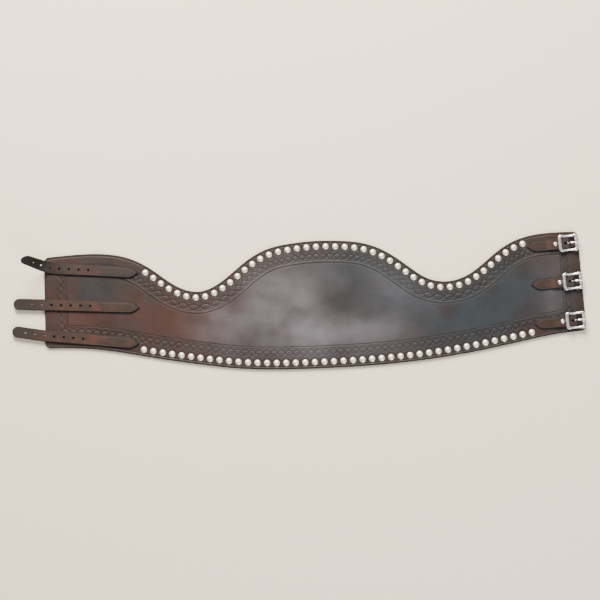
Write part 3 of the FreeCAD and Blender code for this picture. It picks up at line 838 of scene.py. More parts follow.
@dataclass
class Belt:
    """The tooled panel, in four lengths cut halfway between the bending lines, with its spots."""

    outline: Outline = field(default_factory=Outline)
    tooling: Tooling = field(default_factory=Tooling)
    thickness: float = BELT_FACE
    edge_round: float = 1.4 * MM
    back_round: float = 0.8 * MM
    crease_inset: float = 37.0 * MM
    column_step: float = 0.78 * MM
    bend_reach: float = 40.0 * MM
    end_squeeze: float = 0.2
    spot_inset: float = 10.5 * MM
    spot_pitch: float = 16.0 * MM
    spot_radius: float = 5.5 * MM
    spot_height: float = 3.0 * MM
    top_row: tuple[float, float] = (168.4 * MM, 92.5 * MM)
    bottom_row: tuple[float, float] = (161.8 * MM, 86.0 * MM)

    def __post_init__(self) -> None:
        """Read the bending lines and halve the way between them, where the lengths meet."""
        self.top, self.bottom = self.outline.top(), self.outline.bottom()
        places = {j["name"]: j["pos_m"][0] for j in frame["joints"] if j["name"].startswith("wrap")}
        self.bends = [places["wrap_left_outer"], places["wrap_left_inner"],
                      places["wrap_right_inner"], places["wrap_right_outer"]]
        self.cuts = [0.5 * (a + b) for a, b in zip(self.bends, self.bends[1:])]
        self.spots = np.concatenate([
            self.spot_row(self.top, 1.0, *self.top_row), self.spot_row(self.bottom, -1.0, *self.bottom_row)])

    def spot_row(self, edge: Curve, side: float, left: float, right: float) -> Array:
        """Even places (x, y, turn) along the line that runs at the spots' inset from an edge.

        Args:
            edge: Top or bottom edge.
            side: 1 for the top edge, -1 for the bottom.
            left: Distance from the billet end to the first spot.
            right: Distance from the last spot to the buckle end.

        Returns:
            One row per spot.
        """
        ahead = edge.at(edge.fine, 1)
        ahead /= np.linalg.norm(ahead, axis=1)[:, None]
        inner = np.stack([ahead[:, 1], -ahead[:, 0]], axis=-1) * (side * self.spot_inset)
        path = edge.fine_points + inner
        low, high = left - self.outline.left_reach, self.outline.right_reach - right
        keep = (path[:, 0] >= low) & (path[:, 0] <= high)
        path, turn = path[keep], np.arctan2(ahead[keep, 1], ahead[keep, 0])
        way = np.concatenate([[0.0], np.cumsum(np.linalg.norm(np.diff(path, axis=0), axis=1))])
        stops = np.linspace(0.0, way[-1], round(way[-1] / self.spot_pitch) + 1)
        return np.stack([np.interp(stops, way, v) for v in (path[:, 0], path[:, 1], turn)], axis=-1)

    def columns(self) -> Array:
        """X of every column of points: close together round the corners, and one on each cut."""
        near = np.array([0.0, 0.12, 0.35, 0.7, 1.2, 1.8, 2.6, 3.5, 4.5, 5.7, 7.0]) * MM
        stops = [-self.outline.left_reach + 8.0 * MM, *self.cuts, self.outline.right_reach - 8.0 * MM]
        spans = [np.linspace(a, b, round((b - a) / self.column_step), endpoint=False)
                 for a, b in zip(stops, stops[1:])]
        return np.concatenate([near - self.outline.left_reach, *spans, [stops[-1]],
                               self.outline.right_reach - near[::-1]])

    def rows(self, edge: Curve, x: Array, side: float, insets: Array) -> Array:
        """Depth below an edge, straight down Y, at which each inset from the edge is reached.

        Newton steps: the depth grows by the missing inset times the slope's secant.

        Args:
            edge: Top or bottom edge.
            x: Columns.
            side: 1 for the top edge, -1 for the bottom.
            insets: Wanted distances from the edge.

        Returns:
            Depths as (column, inset).
        """
        rise = edge.height(x)
        slope = np.gradient(rise, x)
        secant = np.sqrt(1.0 + slope ** 2)[:, None]
        depth = insets[None, :] * secant
        across = np.repeat(x[:, None], len(insets), axis=1)
        for _ in range(3):
            reached, _ = edge.nearest(across, rise[:, None] - side * depth)
            depth = depth + (insets - side * reached) * secant
        return depth

    def grid(self) -> tuple[Array, Array, Array, int]:
        """Points of the face and back, column by column.

        Returns:
            Unsplayed x and y of every point, the splay to add to x, and the number of face rows.
        """
        x = self.columns()
        fine = np.array([0.0, 0.15, 0.4, 0.8, 1.3, 2.0, 2.8, 3.4, 4.0, 4.6])
        insets = np.concatenate([fine, np.arange(5.5, 18.6, 1.0), np.arange(19.2, 34.6, 0.75),
                                 [35.2, 36.0, 36.5, 37.0, 37.5, 38.0, 39.0]]) * MM
        y_top, y_low = self.top.height(x), self.bottom.height(x)
        from_end = np.minimum(x + self.outline.left_reach, self.outline.right_reach - x)
        drop = rounding(from_end, self.outline.corner_radius)
        sides = []
        for edge, rise, side in ((self.bottom, y_low, -1.0), (self.top, y_top, 1.0)):
            depth = self.rows(edge, x, side, insets)
            depth = drop[:, None] + depth * (1.0 - drop / depth[:, -1])[:, None]
            sides.append(rise[:, None] - side * depth)
        low, high = sides[0], sides[1][:, ::-1]
        share = np.linspace(0.0, 1.0, 36)[1:-1]
        middle = low[:, -1:] + (high[:, :1] - low[:, -1:]) * share
        face = np.concatenate([low, middle, high], axis=1)
        into = np.array([0.0, 0.15, 0.4, 0.8, 1.5, 3.0, 6.0, 11.0]) * MM
        tall = (face[:, -1] - face[:, 0])[:, None]
        steps = np.linspace(0.0, 1.0, 14)[1:-1]
        back = np.concatenate([face[:, -1:] - into, face[:, -1:] - into[-1] - (tall - 2.0 * into[-1]) * steps,
                               face[:, :1] + into[::-1]], axis=1)
        y = np.concatenate([face, back], axis=1)
        fade = ease(1.0 - from_end / self.outline.splay_run)
        splay = np.where(x < 0.0, -self.outline.splay_left, self.outline.splay_right) * fade
        lean = (y_top[:, None] - y) / (y_top - y_low)[:, None]
        return np.repeat(x[:, None], y.shape[1], axis=1), y, splay[:, None] * lean, face.shape[1]

    def face_height(self, x: Array, y: Array, along: Array, inset: Array) -> tuple[Array, Array]:
        """Height of the face, and how dark its tooling is, with painted shade round each spot.

        Height is the thickness less the rounded edge, the pressed lines, the stamped braid and a
        dent round each spot, plus slow ripples of a tenth or two of a millimetre.

        Args:
            x: Places along the belt.
            y: Places across it.
            along: Distance along the nearest edge.
            inset: Distance from it.

        Returns:
            Height, and darkness from 0 to 1, at each point.
        """
        spot = np.full(x.shape, 1.0)
        for row in np.array_split(self.spots, 6):
            spot = np.minimum(spot, np.hypot(x[..., None] - row[:, 0], y[..., None] - row[:, 1]).min(axis=-1))
        worn = 0.82 + 0.18 * ripple(x, y, 14.0 * MM, 5)
        stamp = self.tooling.pressed(along, inset) * worn
        groove = ridge(inset - self.crease_inset, 0.7 * MM)
        line_in = ridge(inset - 18.2 * MM, 0.5 * MM)
        line_out = ridge(inset - 4.0 * MM, 0.5 * MM)
        dent = ridge(spot - 6.3 * MM, 0.9 * MM)
        level = self.thickness - rounding(inset, self.edge_round) + 0.12 * MM * ripple(x, y, 70.0 * MM, 3)
        level = level - self.tooling.depth * stamp - 0.4 * MM * groove - 0.3 * MM * (line_in + line_out)
        level = level - 0.35 * MM * dent
        border = ease((self.crease_inset - inset) / (2.0 * MM))
        rim = ease((18.0 * MM - inset) / (3.0 * MM))
        dark = 0.16 * border + 0.16 * rim + 0.45 * stamp * border
        # Painted contact shade: a dark ring on the leather round the foot of each spot.
        dark = np.maximum(dark, 0.95 * ridge(np.maximum(spot - 5.6 * MM, 0.0), 1.5 * MM))
        return level, np.clip(dark + 0.3 * (line_in + line_out), 0.0, 1.0)

    def tones(self, x: Array, y: Array, inset: Array) -> dict[str, Array]:
        """Strength of each tone, of dye and of painted sheen: 1 less the product of what every patch leaves
        uncovered.

        Outside the crease the red comes up and the blue-grey tone and the painted sheen fade.

        Args:
            x: Places along the belt.
            y: Places across it.
            inset: Distance from the edge.

        Returns:
            Values from 0 to 1 by name of tone.
        """
        edging = ease((20.0 * MM - inset) / (8.0 * MM))
        wobble_x = x + 14.0 * MM * ripple(x, y, 60.0 * MM, 11)
        wobble_y = y + 10.0 * MM * ripple(x, y, 50.0 * MM, 12)
        left = {tone.value: np.ones(x.shape) for tone in Tone}
        for patch in PATCHES:
            off = np.hypot((wobble_x - patch.x * MM) / (patch.reach_x * MM),
                           (wobble_y - patch.y * MM) / (patch.reach_y * MM))
            left[patch.tone.value] *= 1.0 - patch.amount * ridge(off, 1.0)
        left[Tone.RED.value] *= 1.0 - 0.45 * edging
        left[Tone.SLATE.value] = 1.0 - (1.0 - left[Tone.SLATE.value]) * (1.0 - 0.5 * edging)
        left[Tone.PALE.value] = 1.0 - (1.0 - left[Tone.PALE.value]) * (1.0 - 0.75 * edging)
        return {name: 1.0 - rest for name, rest in left.items()}

    def follow_bend(self, piece: bpy.types.Object) -> None:
        """Bake a piece's placement into its mesh; nothing bends it."""
        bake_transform(piece)

    def build(self, face: bpy.types.Material, back: bpy.types.Material) -> None:
        """Make the four lengths of leather, from the billets to the buckles.

        Args:
            face: Material of the tooled face.
            back: Material of the flesh side.
        """
        x, y, splay, face_rows = self.grid()
        top_in, top_along = self.top.nearest(x, y)
        low_in, low_along = self.bottom.nearest(x, y)
        long_in = np.minimum(top_in, -low_in)
        long_along = np.where(top_in < -low_in, top_along, low_along)
        right_in = self.outline.right_reach - x
        right_in = right_in + self.end_squeeze * np.maximum(right_in - self.outline.corner_radius, 0.0)
        end_in = np.minimum(x + self.outline.left_reach, right_in)
        radius = self.outline.corner_radius
        corner = radius - np.hypot(np.maximum(radius - long_in, 0.0), np.maximum(radius - end_in, 0.0))
        inset = np.where((long_in < radius) & (end_in < radius), corner, np.minimum(long_in, end_in))
        rim = np.zeros(x.shape, bool)
        rim[0], rim[-1] = True, True
        rim[:, [0, face_rows - 1, face_rows, -1]] = True
        inset = np.where(rim, 0.0, np.maximum(inset, 0.0))
        along = np.where(long_in <= end_in, long_along, y + 1.0)
        level, dark = self.face_height(x, y, along, inset)
        under = rounding(inset, self.back_round)
        on_back = np.arange(x.shape[1]) >= face_rows
        z = np.where(on_back, under, level)
        # The tooled tone also carries the painted shade round the spots.
        tones = {"tooled": dark, **self.tones(x, y, inset)}
        points = np.stack([x + splay, y, z], axis=-1)
        stops = [0] + [int(np.abs(x[:, 0] - cut).argmin()) for cut in self.cuts] + [len(x) - 1]
        for length, bend, first, last in zip(LENGTHS, self.bends, stops, stops[1:]):
            part = slice(first, last + 1)
            quads, caps = loft(points[part])
            flat = [values[part].reshape(-1) for values in (long_along, long_in, y, end_in)]
            by_end = (flat[3][quads].mean(axis=1) < flat[1][quads].mean(axis=1))[:, None]
            marks = np.stack([np.where(by_end, flat[2][quads] + 1.0, flat[0][quads]),
                              inset[part].reshape(-1)[quads]], axis=-1)
            cap_marks = np.stack([flat[0][caps], inset[part].reshape(-1)[caps]], axis=-1)
            backs = (quads % x.shape[1] >= face_rows).all(axis=1)
            shell = Shell(points[part].reshape(-1, 3), [quads[~backs], quads[backs], caps], [0, 1, 0],
                          [marks[~backs], marks[backs], cap_marks],
                          {key: values[part].reshape(-1) for key, values in tones.items()}).outward()
            piece = make_object("belt_leather_" + length.name, shell, [face, back], crease=60.0)
            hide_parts(*["panel_" + segment for segment in length.segments])
            self.follow_bend(piece)
            log.info("%s: %d points", piece.name, len(shell.points))

    def spot(self) -> Shell:
        """One pressed spot: a dome with a rolled rim, darkened round its foot by painted shade, and two prongs
        behind.
        """
        ball = (self.spot_radius ** 2 + self.spot_height ** 2) / (2.0 * self.spot_height)
        full = math.asin(self.spot_radius / ball)
        angle = np.linspace(0.03, 1.0, 8) * full
        dome = np.stack([ball * np.sin(angle), self.spot_height - ball * (1.0 - np.cos(angle))], axis=-1)
        rim = np.array([[5.62, -0.08], [5.5, -0.35], [0.2, -0.4]]) * MM
        shell = lathe(np.concatenate([dome, rim]), 20)
        shell.points[:, 2] += self.thickness
        out = np.hypot(shell.points[:, 0], shell.points[:, 1])
        # Painted shade: the dome's lower slope is darkened all round its foot.
        shell.tones = {"soil_and_shade": ease((out - 4.6 * MM) / (1.0 * MM))}
        return shell

    def prong(self) -> Shell:
        """One prong turned over at the back: a tapered tongue with a raised middle."""
        reach = np.array([-3.95, -3.6, -1.6, -1.15]) * MM
        half = np.array([0.9, 0.9, 0.8, 0.3]) * MM
        sink = np.array([0.5, -0.12, -0.14, 0.3]) * MM
        ring = np.array([[-1.0, 0.0], [0.0, -0.04], [1.0, 0.0], [0.0, 1.0]])
        rings = np.stack([half[:, None] * ring[:, 0], np.repeat(reach[:, None], 4, axis=1),
                          sink[:, None] + np.array([0.0, -0.05, 0.0, 0.5]) * MM * np.ones((4, 1))], axis=-1)
        shell = Shell(rings.reshape(-1, 3), loft(rings), [0, 0]).outward()
        shell.tones = {"soil_and_shade": np.full(len(shell.points), 0.35)}
        return shell

    def build_spots(self, metal: bpy.types.Material) -> None:
        """Set the spots along both edges, one object for each length of leather.

        Args:
            metal: Material of the spots.
        """
        limits = [-1.0, *self.cuts, 1.0]
        dome, prong = self.spot(), self.prong()
        for length, bend, low, high in zip(LENGTHS, self.bends, limits, limits[1:]):
            here = self.spots[(self.spots[:, 0] > low) & (self.spots[:, 0] <= high)]
            domes = [placed(dome, (x, y, 0.0), turn) for x, y, turn in here]
            prongs = [placed(prong, (x, y, 0.0), turn + flip) for x, y, turn in here for flip in (0.0, math.pi)]
            shell = side_by_side(joined(domes), joined(prongs))
            piece = make_object("nickel_spots_" + length.segments[-1], shell, [metal], crease=50.0)
            nodes = ["spots_%s_%s" % (row, segment) for row in ("top", "bottom") for segment in length.segments]
            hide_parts(*nodes)
            self.follow_bend(piece)
            log.info("%s: %d spots", piece.name, len(here))


# ---------------------------------------------------------------- straps
def joint_place(name: str) -> tuple[Array, float]:
    """Place of a joint at rest, and the turn about Z of its axis from +Y or -Y."""
    joint = next(j for j in frame["joints"] if j["name"] == name)
    axis = np.array(joint["axis"]) * (1.0 if joint["axis"][1] > 0.0 else -1.0)
    return np.array(joint["pos_m"]), math.atan2(-axis[0], axis[1])


@dataclass(frozen=True)
class StrapSection:
    """A strap's cross-section: flat faces with rounded, rubbed edges and a crowned middle."""

    width: float = 19.0 * MM
    top_round: float = 0.9 * MM
    back_round: float = 0.6 * MM
    stitch_inset: float = 2.4 * MM

    def rings(self, half: Array, slope: Array, thick: Array, end: Array, groove: Array) -> tuple[Array, Array]:
        """Section at each station as (place across, height above the middle of the thickness).

        Every section is the full one squeezed to its half width; the edge is rounded by the inset
        measured square to the outline, or from the strap's end if that is nearer, and the stitching
        line is pressed in where groove is 1.

        Args:
            half: Half width at each station.
            slope: How fast the half width changes along the strap.
            thick: Thickness at each station.
            end: Distance to the strap's nearer end.
            groove: Depth of the stitching line, from 0 to 1.

        Returns:
            Rings as (station, place, 2), and the inset of each place.
        """
        near = np.array([0.0, 0.1, 0.3, 0.6, 1.0, 1.5, 1.9, 2.4, 2.9, 3.5, 5.0, 7.2]) / 9.5
        top = np.concatenate([near - 1.0, [0.0], (1.0 - near)[::-1]])
        low = (1.0 - np.array([0.0, 0.2, 0.6, 1.2, 3.0, 6.0]) / 9.5)
        under = np.concatenate([low, [0.0], -low[::-1]])
        across = np.concatenate([top, under])
        inset = (1.0 - np.abs(across)) * half[:, None] / np.sqrt(1.0 + slope[:, None] ** 2)
        inset = np.minimum(inset, end[:, None])
        inset[:, [0, len(top) - 1, len(top), -1]] = 0.0
        upper = 0.5 * thick[:, None] - rounding(inset, self.top_round)
        upper = upper - 0.28 * MM * groove[:, None] * ridge(inset - self.stitch_inset, 0.55 * MM)
        lower = -0.5 * thick[:, None] + rounding(inset, self.back_round)
        is_top = np.arange(len(across)) < len(top)
        rings = np.stack([across * half[:, None], np.where(is_top, upper, lower)], axis=-1)
        return rings, inset


OGIVE_FULLNESS = 1.876


def ogive(distance: Array, length: float, half: float) -> Array:
    """Half width of a pointed end at a distance from its point: half (1 - (1 - d / length)^fullness)."""
    return half * (1.0 - (1.0 - np.clip(distance / length, 0.0, 1.0)) ** OGIVE_FULLNESS)


def stitch(length: float = 3.3 * MM, radius: float = 0.42 * MM) -> Shell:
    """One stitch: a plump thread that dives into the leather at both ends."""
    share = np.linspace(-1.0, 1.0, 7)
    path = np.stack([share * 0.5 * length, 0.3 * MM - 0.55 * MM * share ** 4], axis=-1)
    return tube(path, radius * (1.0 - 0.45 * share ** 4), 8)


def stitch_line(start: float, point: float, half: float, taper: float, pitch: float = 4.2 * MM) -> Array:
    """Even places (x, y, turn) down both sides and round the point of a pointed strap.

    Args:
        start: X where the stitching starts.
        point: X of the strap's point.
        half: Half the strap's width.
        taper: Length of the pointed end.
        pitch: Distance from stitch to stitch.

    Returns:
        One row per stitch.
    """
    sign = 1.0 if point > start else -1.0
    width, length, run = half - 2.4 * MM, abs(point - start) - 3.6 * MM, taper - 1.2 * MM
    way = np.linspace(0.0, length, 800)
    y = width * (1.0 - np.clip((way - (length - run)) / run, 0.0, 1.0) ** 1.85)
    x = start + sign * way
    travelled = np.concatenate([[0.0], np.cumsum(np.hypot(np.diff(x), np.diff(y)))])
    stops = np.arange(0.5 * pitch, travelled[-1], pitch)
    at_x, at_y = np.interp(stops, travelled, x), np.interp(stops, travelled, y)
    turn = np.interp(stops, travelled, np.arctan2(np.gradient(y), np.gradient(x) * sign)) * sign
    side = np.stack([at_x, at_y, turn], axis=-1)[at_y > 1.6 * MM]
    return np.concatenate([side, side * np.array([1.0, -1.0, -1.0])])


def sew(name: str, node: str, body: str, sewing: Shell, thread: bpy.types.Material) -> None:
    """Put a run of stitches into one object that stands for a node and rides on a body."""
    line = make_object(name, sewing, [thread])
    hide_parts(node)
    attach(line, body)


@dataclass
class Billet:
    """A punched strap: sewn flat to the belt by its pointed end, free beyond its lifting line."""

    name: str
    length: float
    first_hole: float
    side_run: float = 140.0 * MM
    side_bend: float = 0.0
    curl_run: float = 140.0 * MM
    curl: float = 0.0
    twist: float = 0.0
    twist_run: float = 50.0 * MM
    tip_darkening: float = 0.75
    # Painted shade laid over the whole strap, for a strap turned away from the light.
    painted_shade: float = 0.0
    sewn: float = 64.0 * MM
    taper: float = 18.0 * MM
    thickness: float = 3.0 * MM
    side_radius: float = 120.0 * MM
    curl_radius: float = 45.0 * MM
    hole_radius: float = 1.8 * MM
    hole_count: int = 7
    hole_pitch: float = 16.2 * MM
    bend_reach: float = 11.0 * MM
    section: StrapSection = field(default_factory=StrapSection)

    def walk(self, way: Array) -> tuple[Array, Array, Array, Array]:
        """Centreline of the strap, negative distances being on the sewn part.

        The rise turns at 1/curl radius and the heading at 1/side radius until each has turned
        enough, and the place is the running sum of the direction.

        Args:
            way: Distances from the lifting line.

        Returns:
            Places, directions ahead, directions across and face normals.
        """
        fine = np.linspace(0.0, self.length, 3001)
        step = fine[1]
        rise = np.clip((fine - self.curl_run) / self.curl_radius, 0.0, math.radians(self.curl))
        flat = np.concatenate([[0.0], np.cumsum(np.cos(rise[1:]) * step)])
        heading = np.clip((flat - self.side_run) / self.side_radius, 0.0, math.radians(self.side_bend))
        ahead = np.stack([-np.cos(rise) * np.cos(heading), np.cos(rise) * np.sin(heading), np.sin(rise)], axis=-1)
        place = np.concatenate([np.zeros((1, 3)), np.cumsum(ahead[1:] * step, axis=0)])
        place[:, 2] += BELT_FACE + 0.5 * self.thickness
        held = np.clip(way, 0.0, self.length)
        at = np.stack([np.interp(held, fine, place[:, k]) for k in range(3)], axis=-1)
        at[:, 0] += np.maximum(-way, 0.0)
        angle, turn = np.interp(held, fine, rise), np.interp(held, fine, heading)
        tangent = np.stack([-np.cos(angle) * np.cos(turn), np.cos(angle) * np.sin(turn), np.sin(angle)], axis=-1)
        up = np.stack([np.sin(angle) * np.cos(turn), -np.sin(angle) * np.sin(turn), np.cos(angle)], axis=-1)
        side = np.cross(tangent, up)
        roll = math.radians(self.twist) * ease((way - self.twist_run) / (self.length - self.twist_run))
        c, s = np.cos(roll)[:, None], np.sin(roll)[:, None]
        return at, tangent, side * c + up * s, up * c - side * s

    def holes(self) -> Array:
        """Distance of each hole from the lifting line."""
        return self.length - self.first_hole - self.hole_pitch * np.arange(self.hole_count)

    def strap(self) -> Shell:
        """The whole strap: its section carried along the centreline, from sewn point to free tip."""
        half = 0.5 * self.section.width
        near = np.array([0.0, 0.1, 0.3, 0.7, 1.3, 2.1, 3.1, 4.3, 5.7, 7.3, 8.9]) * MM
        spans = np.arange(10.0 * MM, self.sewn + self.length - 10.0 * MM, 1.0 * MM)
        total = self.sewn + self.length
        way = np.concatenate([near, spans, (total - near)[::-1]]) - self.sewn
        from_point, from_tip = way + self.sewn, self.length - way
        pointed = ogive(from_point, self.taper, half)
        tip = half - rounding(from_tip, half)
        wide = np.maximum(np.minimum(pointed, tip), 0.15 * MM)
        slope = np.gradient(wide, way)
        groove = ease(1.0 - (way + 2.0 * MM) / (1.0 * MM))
        end = np.minimum(from_point * 0.7, from_tip)
        rings, inset = self.section.rings(wide, slope, np.full(len(way), self.thickness), end, groove)
        at, _, side, up = self.walk(way)
        points = at[:, None] + side[:, None] * rings[..., :1] + up[:, None] * rings[..., 1:]
        quads, caps = loft(points)
        along = np.repeat(way[:, None], rings.shape[1], axis=1)
        marks = np.stack([along, inset], axis=-1).reshape(-1, 2)
        off_centre = np.abs(rings[..., 0])
        off_hole = np.hypot(along[..., None] - self.holes(), off_centre[..., None]).min(axis=-1)
        # Darker towards the tip; on the top billet both this and the floor below are painted shade.
        darkened_and_shaded = self.tip_darkening * ease((along - 0.35 * self.length) / (0.5 * self.length))
        darkened_and_shaded = np.maximum(darkened_and_shaded, self.painted_shade)
        # Painted shade: a dark ring round each hole.
        darkened_and_shaded = np.maximum(darkened_and_shaded, 0.8 * ridge(np.maximum(off_hole - self.hole_radius, 0.0), 1.2 * MM))
        stitched = np.repeat(groove[:, None], rings.shape[1], axis=1)
        shell = Shell(points.reshape(-1, 3), [quads, caps], [0, 0], [marks[quads], marks[caps]],
                      {"darkened_and_shaded": darkened_and_shaded.reshape(-1), "stitched": stitched.reshape(-1)})
        return shell.outward()

    def punches(self) -> Shell:
        """The seven hole punches: spools that flare a little where they leave the leather."""
        at, ahead, side, up = self.walk(self.holes())
        r, t = self.hole_radius, 0.5 * self.thickness
        profile = np.array([[1e-5, 1.4 * t], [r + 0.75 * MM, 1.4 * t], [r + 0.1 * MM, 0.75 * t], [r, 0.5 * t],
                            [r, -0.7 * t], [r + 0.5 * MM, -1.4 * t], [1e-5, -1.4 * t]])
        spool = lathe(profile, 20)
        turned = [Shell(at[k] + spool.points @ np.stack([-ahead[k], side[k], up[k]]), spool.faces, [0, 0])
                  for k in range(self.hole_count)]
        return joined(turned)

    def build(self, leather: bpy.types.Material, thread: bpy.types.Material) -> None:
        """Make the strap and its stitching.

        Args:
            leather: Material of the strap.
            thread: Material of the stitches.
        """
        hinge, turn = joint_place("billet_%s_lift" % self.name)
        base = np.array([hinge[0], hinge[1], 0.0])
        strap = placed(self.strap(), base, turn)
        piece = make_object("billet_strap_" + self.name, strap, [leather], crease=45.0)
        cut_away(piece, placed(self.punches(), base, turn))
        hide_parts("billet_%s_sewn_end" % self.name, "billet_%s_free_end" % self.name)
        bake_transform(piece)
        places = stitch_line(3.0 * MM, self.sewn, 0.5 * self.section.width, self.taper)
        one, level = stitch(), BELT_FACE + self.thickness - 0.28 * MM
        sewing = joined([placed(one, (x, y, level), angle) for x, y, angle in places])
        sew("billet_stitches_" + self.name, "billet_%s_stitching" % self.name, "belt_left_end",
            placed(sewing, base, turn), thread)
        log.info("%s: %d stitches, %d holes", piece.name, len(places), self.hole_count)


# ---------------------------------------------------------------- buckles
def rounded_ring(half_x: float, half_y: float, radius: float, side_steps: int, corner_steps: int) -> Array:
    """Rounded rectangle as a closed ring: quarter arcs at the corners and even steps on the sides.

    Args:
        half_x: Half its length.
        half_y: Half its width.
        radius: Radius of its corners.
        side_steps: Steps along each side.
        corner_steps: Steps round each corner.

    Returns:
        Points as (x, y).
    """
    corners = []
    for k, (sx, sy) in enumerate(((1, 1), (-1, 1), (-1, -1), (1, -1))):
        angle = (k + np.linspace(0.0, 1.0, corner_steps + 1)) * 0.5 * np.pi
        centre = np.array([sx * (half_x - radius), sy * (half_y - radius)])
        corners.append(centre + radius * np.stack([np.cos(angle), np.sin(angle)], axis=-1))
    ring = []
    for here, after in zip(corners, corners[1:] + corners[:1]):
        share = np.linspace(0.0, 1.0, side_steps + 1)[1:-1, None]
        ring += [here, here[-1] + (after[0] - here[-1]) * share]
    return np.concatenate(ring)


@dataclass
class Buckle:
    """A cast centre-bar buckle on its folded leather tab, with a rivet and stitching."""

    name: str
    length: float = 33.0 * MM
    width: float = 29.0 * MM
    end_bar: float = 5.6 * MM
    side_bar: float = 4.3 * MM
    corner: float = 5.0 * MM
    window_corner: float = 2.5 * MM
    waist: float = 1.2 * MM
    arch: float = 1.8 * MM
    depth: float = 3.2 * MM
    fullness: float = 0.82
    low: float = 8.6 * MM
    bar_radius: float = 1.6 * MM
    bar_height: float = 7.75 * MM
    strap: float = 19.0 * MM
    tab_length: float = 69.0 * MM
    tab_taper: float = 17.0 * MM
    tab_thickness: float = 2.4 * MM
    layer: float = 2.0 * MM
    return_end: float = 29.5 * MM
    skive: float = 6.0 * MM
    foot: float = -10.0 * MM
    slot_width: float = 3.6 * MM
    slot_reach: float = 7.2 * MM
    rivet_radius: float = 3.8 * MM
    rivet_height: float = 2.0 * MM
    bend_reach: float = 6.0 * MM
    section: StrapSection = field(default_factory=StrapSection)

    def frame_shell(self) -> Shell:
        """The frame: a lens-shaped section carried round between two rounded rectangles.

        The section is a superellipse; the ring is pinched at its waist, dips by the arch at the
        centre bar, and its tip bar has two low humps with a hollow between them for the tongue.
        """
        half_x, half_y = 0.5 * self.length, 0.5 * self.width
        outer = rounded_ring(half_x, half_y, self.corner, 14, 8)
        inner = rounded_ring(half_x - self.end_bar, half_y - self.side_bar, self.window_corner, 14, 8)
        chord = half_x - self.corner
        pinch = self.waist * np.clip(1.0 - (outer[:, 0] / chord) ** 2, 0.0, 1.0)
        outer[:, 1] -= np.sign(outer[:, 1]) * pinch
        tip = ease((outer[:, 0] - 0.3 * half_x) / (0.6 * half_x))
        humps = ridge(np.abs(outer[:, 1]) - 5.2 * MM, 2.6 * MM) - 0.9 * ridge(outer[:, 1], 1.8 * MM)
        outer[:, 0] += 0.55 * MM * tip * humps
        inner[:, 0] -= 0.35 * MM * tip * humps
        angle = np.linspace(0.0, 2.0 * np.pi, 16, endpoint=False)
        across = 0.5 + 0.5 * np.sign(np.cos(angle)) * np.abs(np.cos(angle)) ** self.fullness
        lift = np.sign(np.sin(angle)) * np.abs(np.sin(angle)) ** self.fullness
        plan = inner[:, None] + (outer - inner)[:, None] * across[None, :, None]
        window = half_x - self.end_bar
        dip = self.arch * np.clip(1.0 - (plan[..., 0] / window) ** 2, 0.0, 1.0)
        thick = 0.5 * self.depth + 0.25 * MM * tip[:, None] * np.clip(humps, -1.0, 1.0)[:, None]
        z = self.low + 0.5 * self.depth - dip + thick * lift
        rings = np.concatenate([plan, z[..., None]], axis=-1)
        closed = np.concatenate([rings, rings[:1]])
        quads = loft(closed)[0]
        quads %= len(rings) * len(angle)
        inside = np.repeat(ridge(across, 0.25)[None, :], len(rings), axis=0).reshape(-1)
        return Shell(rings.reshape(-1, 3), [quads], [0], [], {"soil_and_shade": 0.35 * inside}).outward()

    def bar_shell(self) -> Shell:
        """The round centre bar, its ends buried in the side bars."""
        reach = 0.5 * self.width - self.side_bar + 1.5 * MM
        r = self.bar_radius
        bar = lathe(np.array([[1e-5, -reach], [r, -reach], [r, reach], [1e-5, reach]]), 20)
        x, y, z = bar.points.T
        bar.points = np.stack([x, z, self.bar_height - y], axis=-1)
        bar.tones = {"soil_and_shade": np.full(len(bar.points), 0.3)}
        return bar.outward()

    def tongue_shell(self) -> Shell:
        """The tongue: wrapped round the centre bar, bent at its knee and slimmed to a blunt tip."""
        eye_radius = self.bar_radius + 0.06 * MM + 0.65 * MM
        angle = np.radians(np.linspace(-60.0, -330.0, 22))
        eye = np.stack([eye_radius * np.cos(angle), self.bar_height + eye_radius * np.sin(angle)], axis=-1)
        rest = self.low + self.depth + 0.75 * MM
        run = np.array([[3.4, -1.5], [5.4, -0.35], [7.4, 0.05], [10.0, 0.0], [13.0, -0.15], [15.2, -0.35],
                        [16.1, -0.5]]) * MM + np.array([0.0, rest])
        spine = Curve(np.concatenate([eye, run]))
        path = spine.at(np.linspace(0.0, spine.knots[-1], 70))
        share = np.linspace(0.0, 1.0, 70)
        radii = 0.65 * MM + 0.6 * MM * ease((share - 0.35) / 0.2) - 0.25 * MM * ease((share - 0.7) / 0.25)
        radii = radii * np.sqrt(np.clip((1.0 - share) / 0.035, 0.02, 1.0))
        shell = tube(path, radii, 14, flatten=1.15)
        shell.tones = {"soil_and_shade": 0.3 * ease(1.0 - (shell.points[:, 0] - 2.0 * MM) / (3.0 * MM))}
        return shell

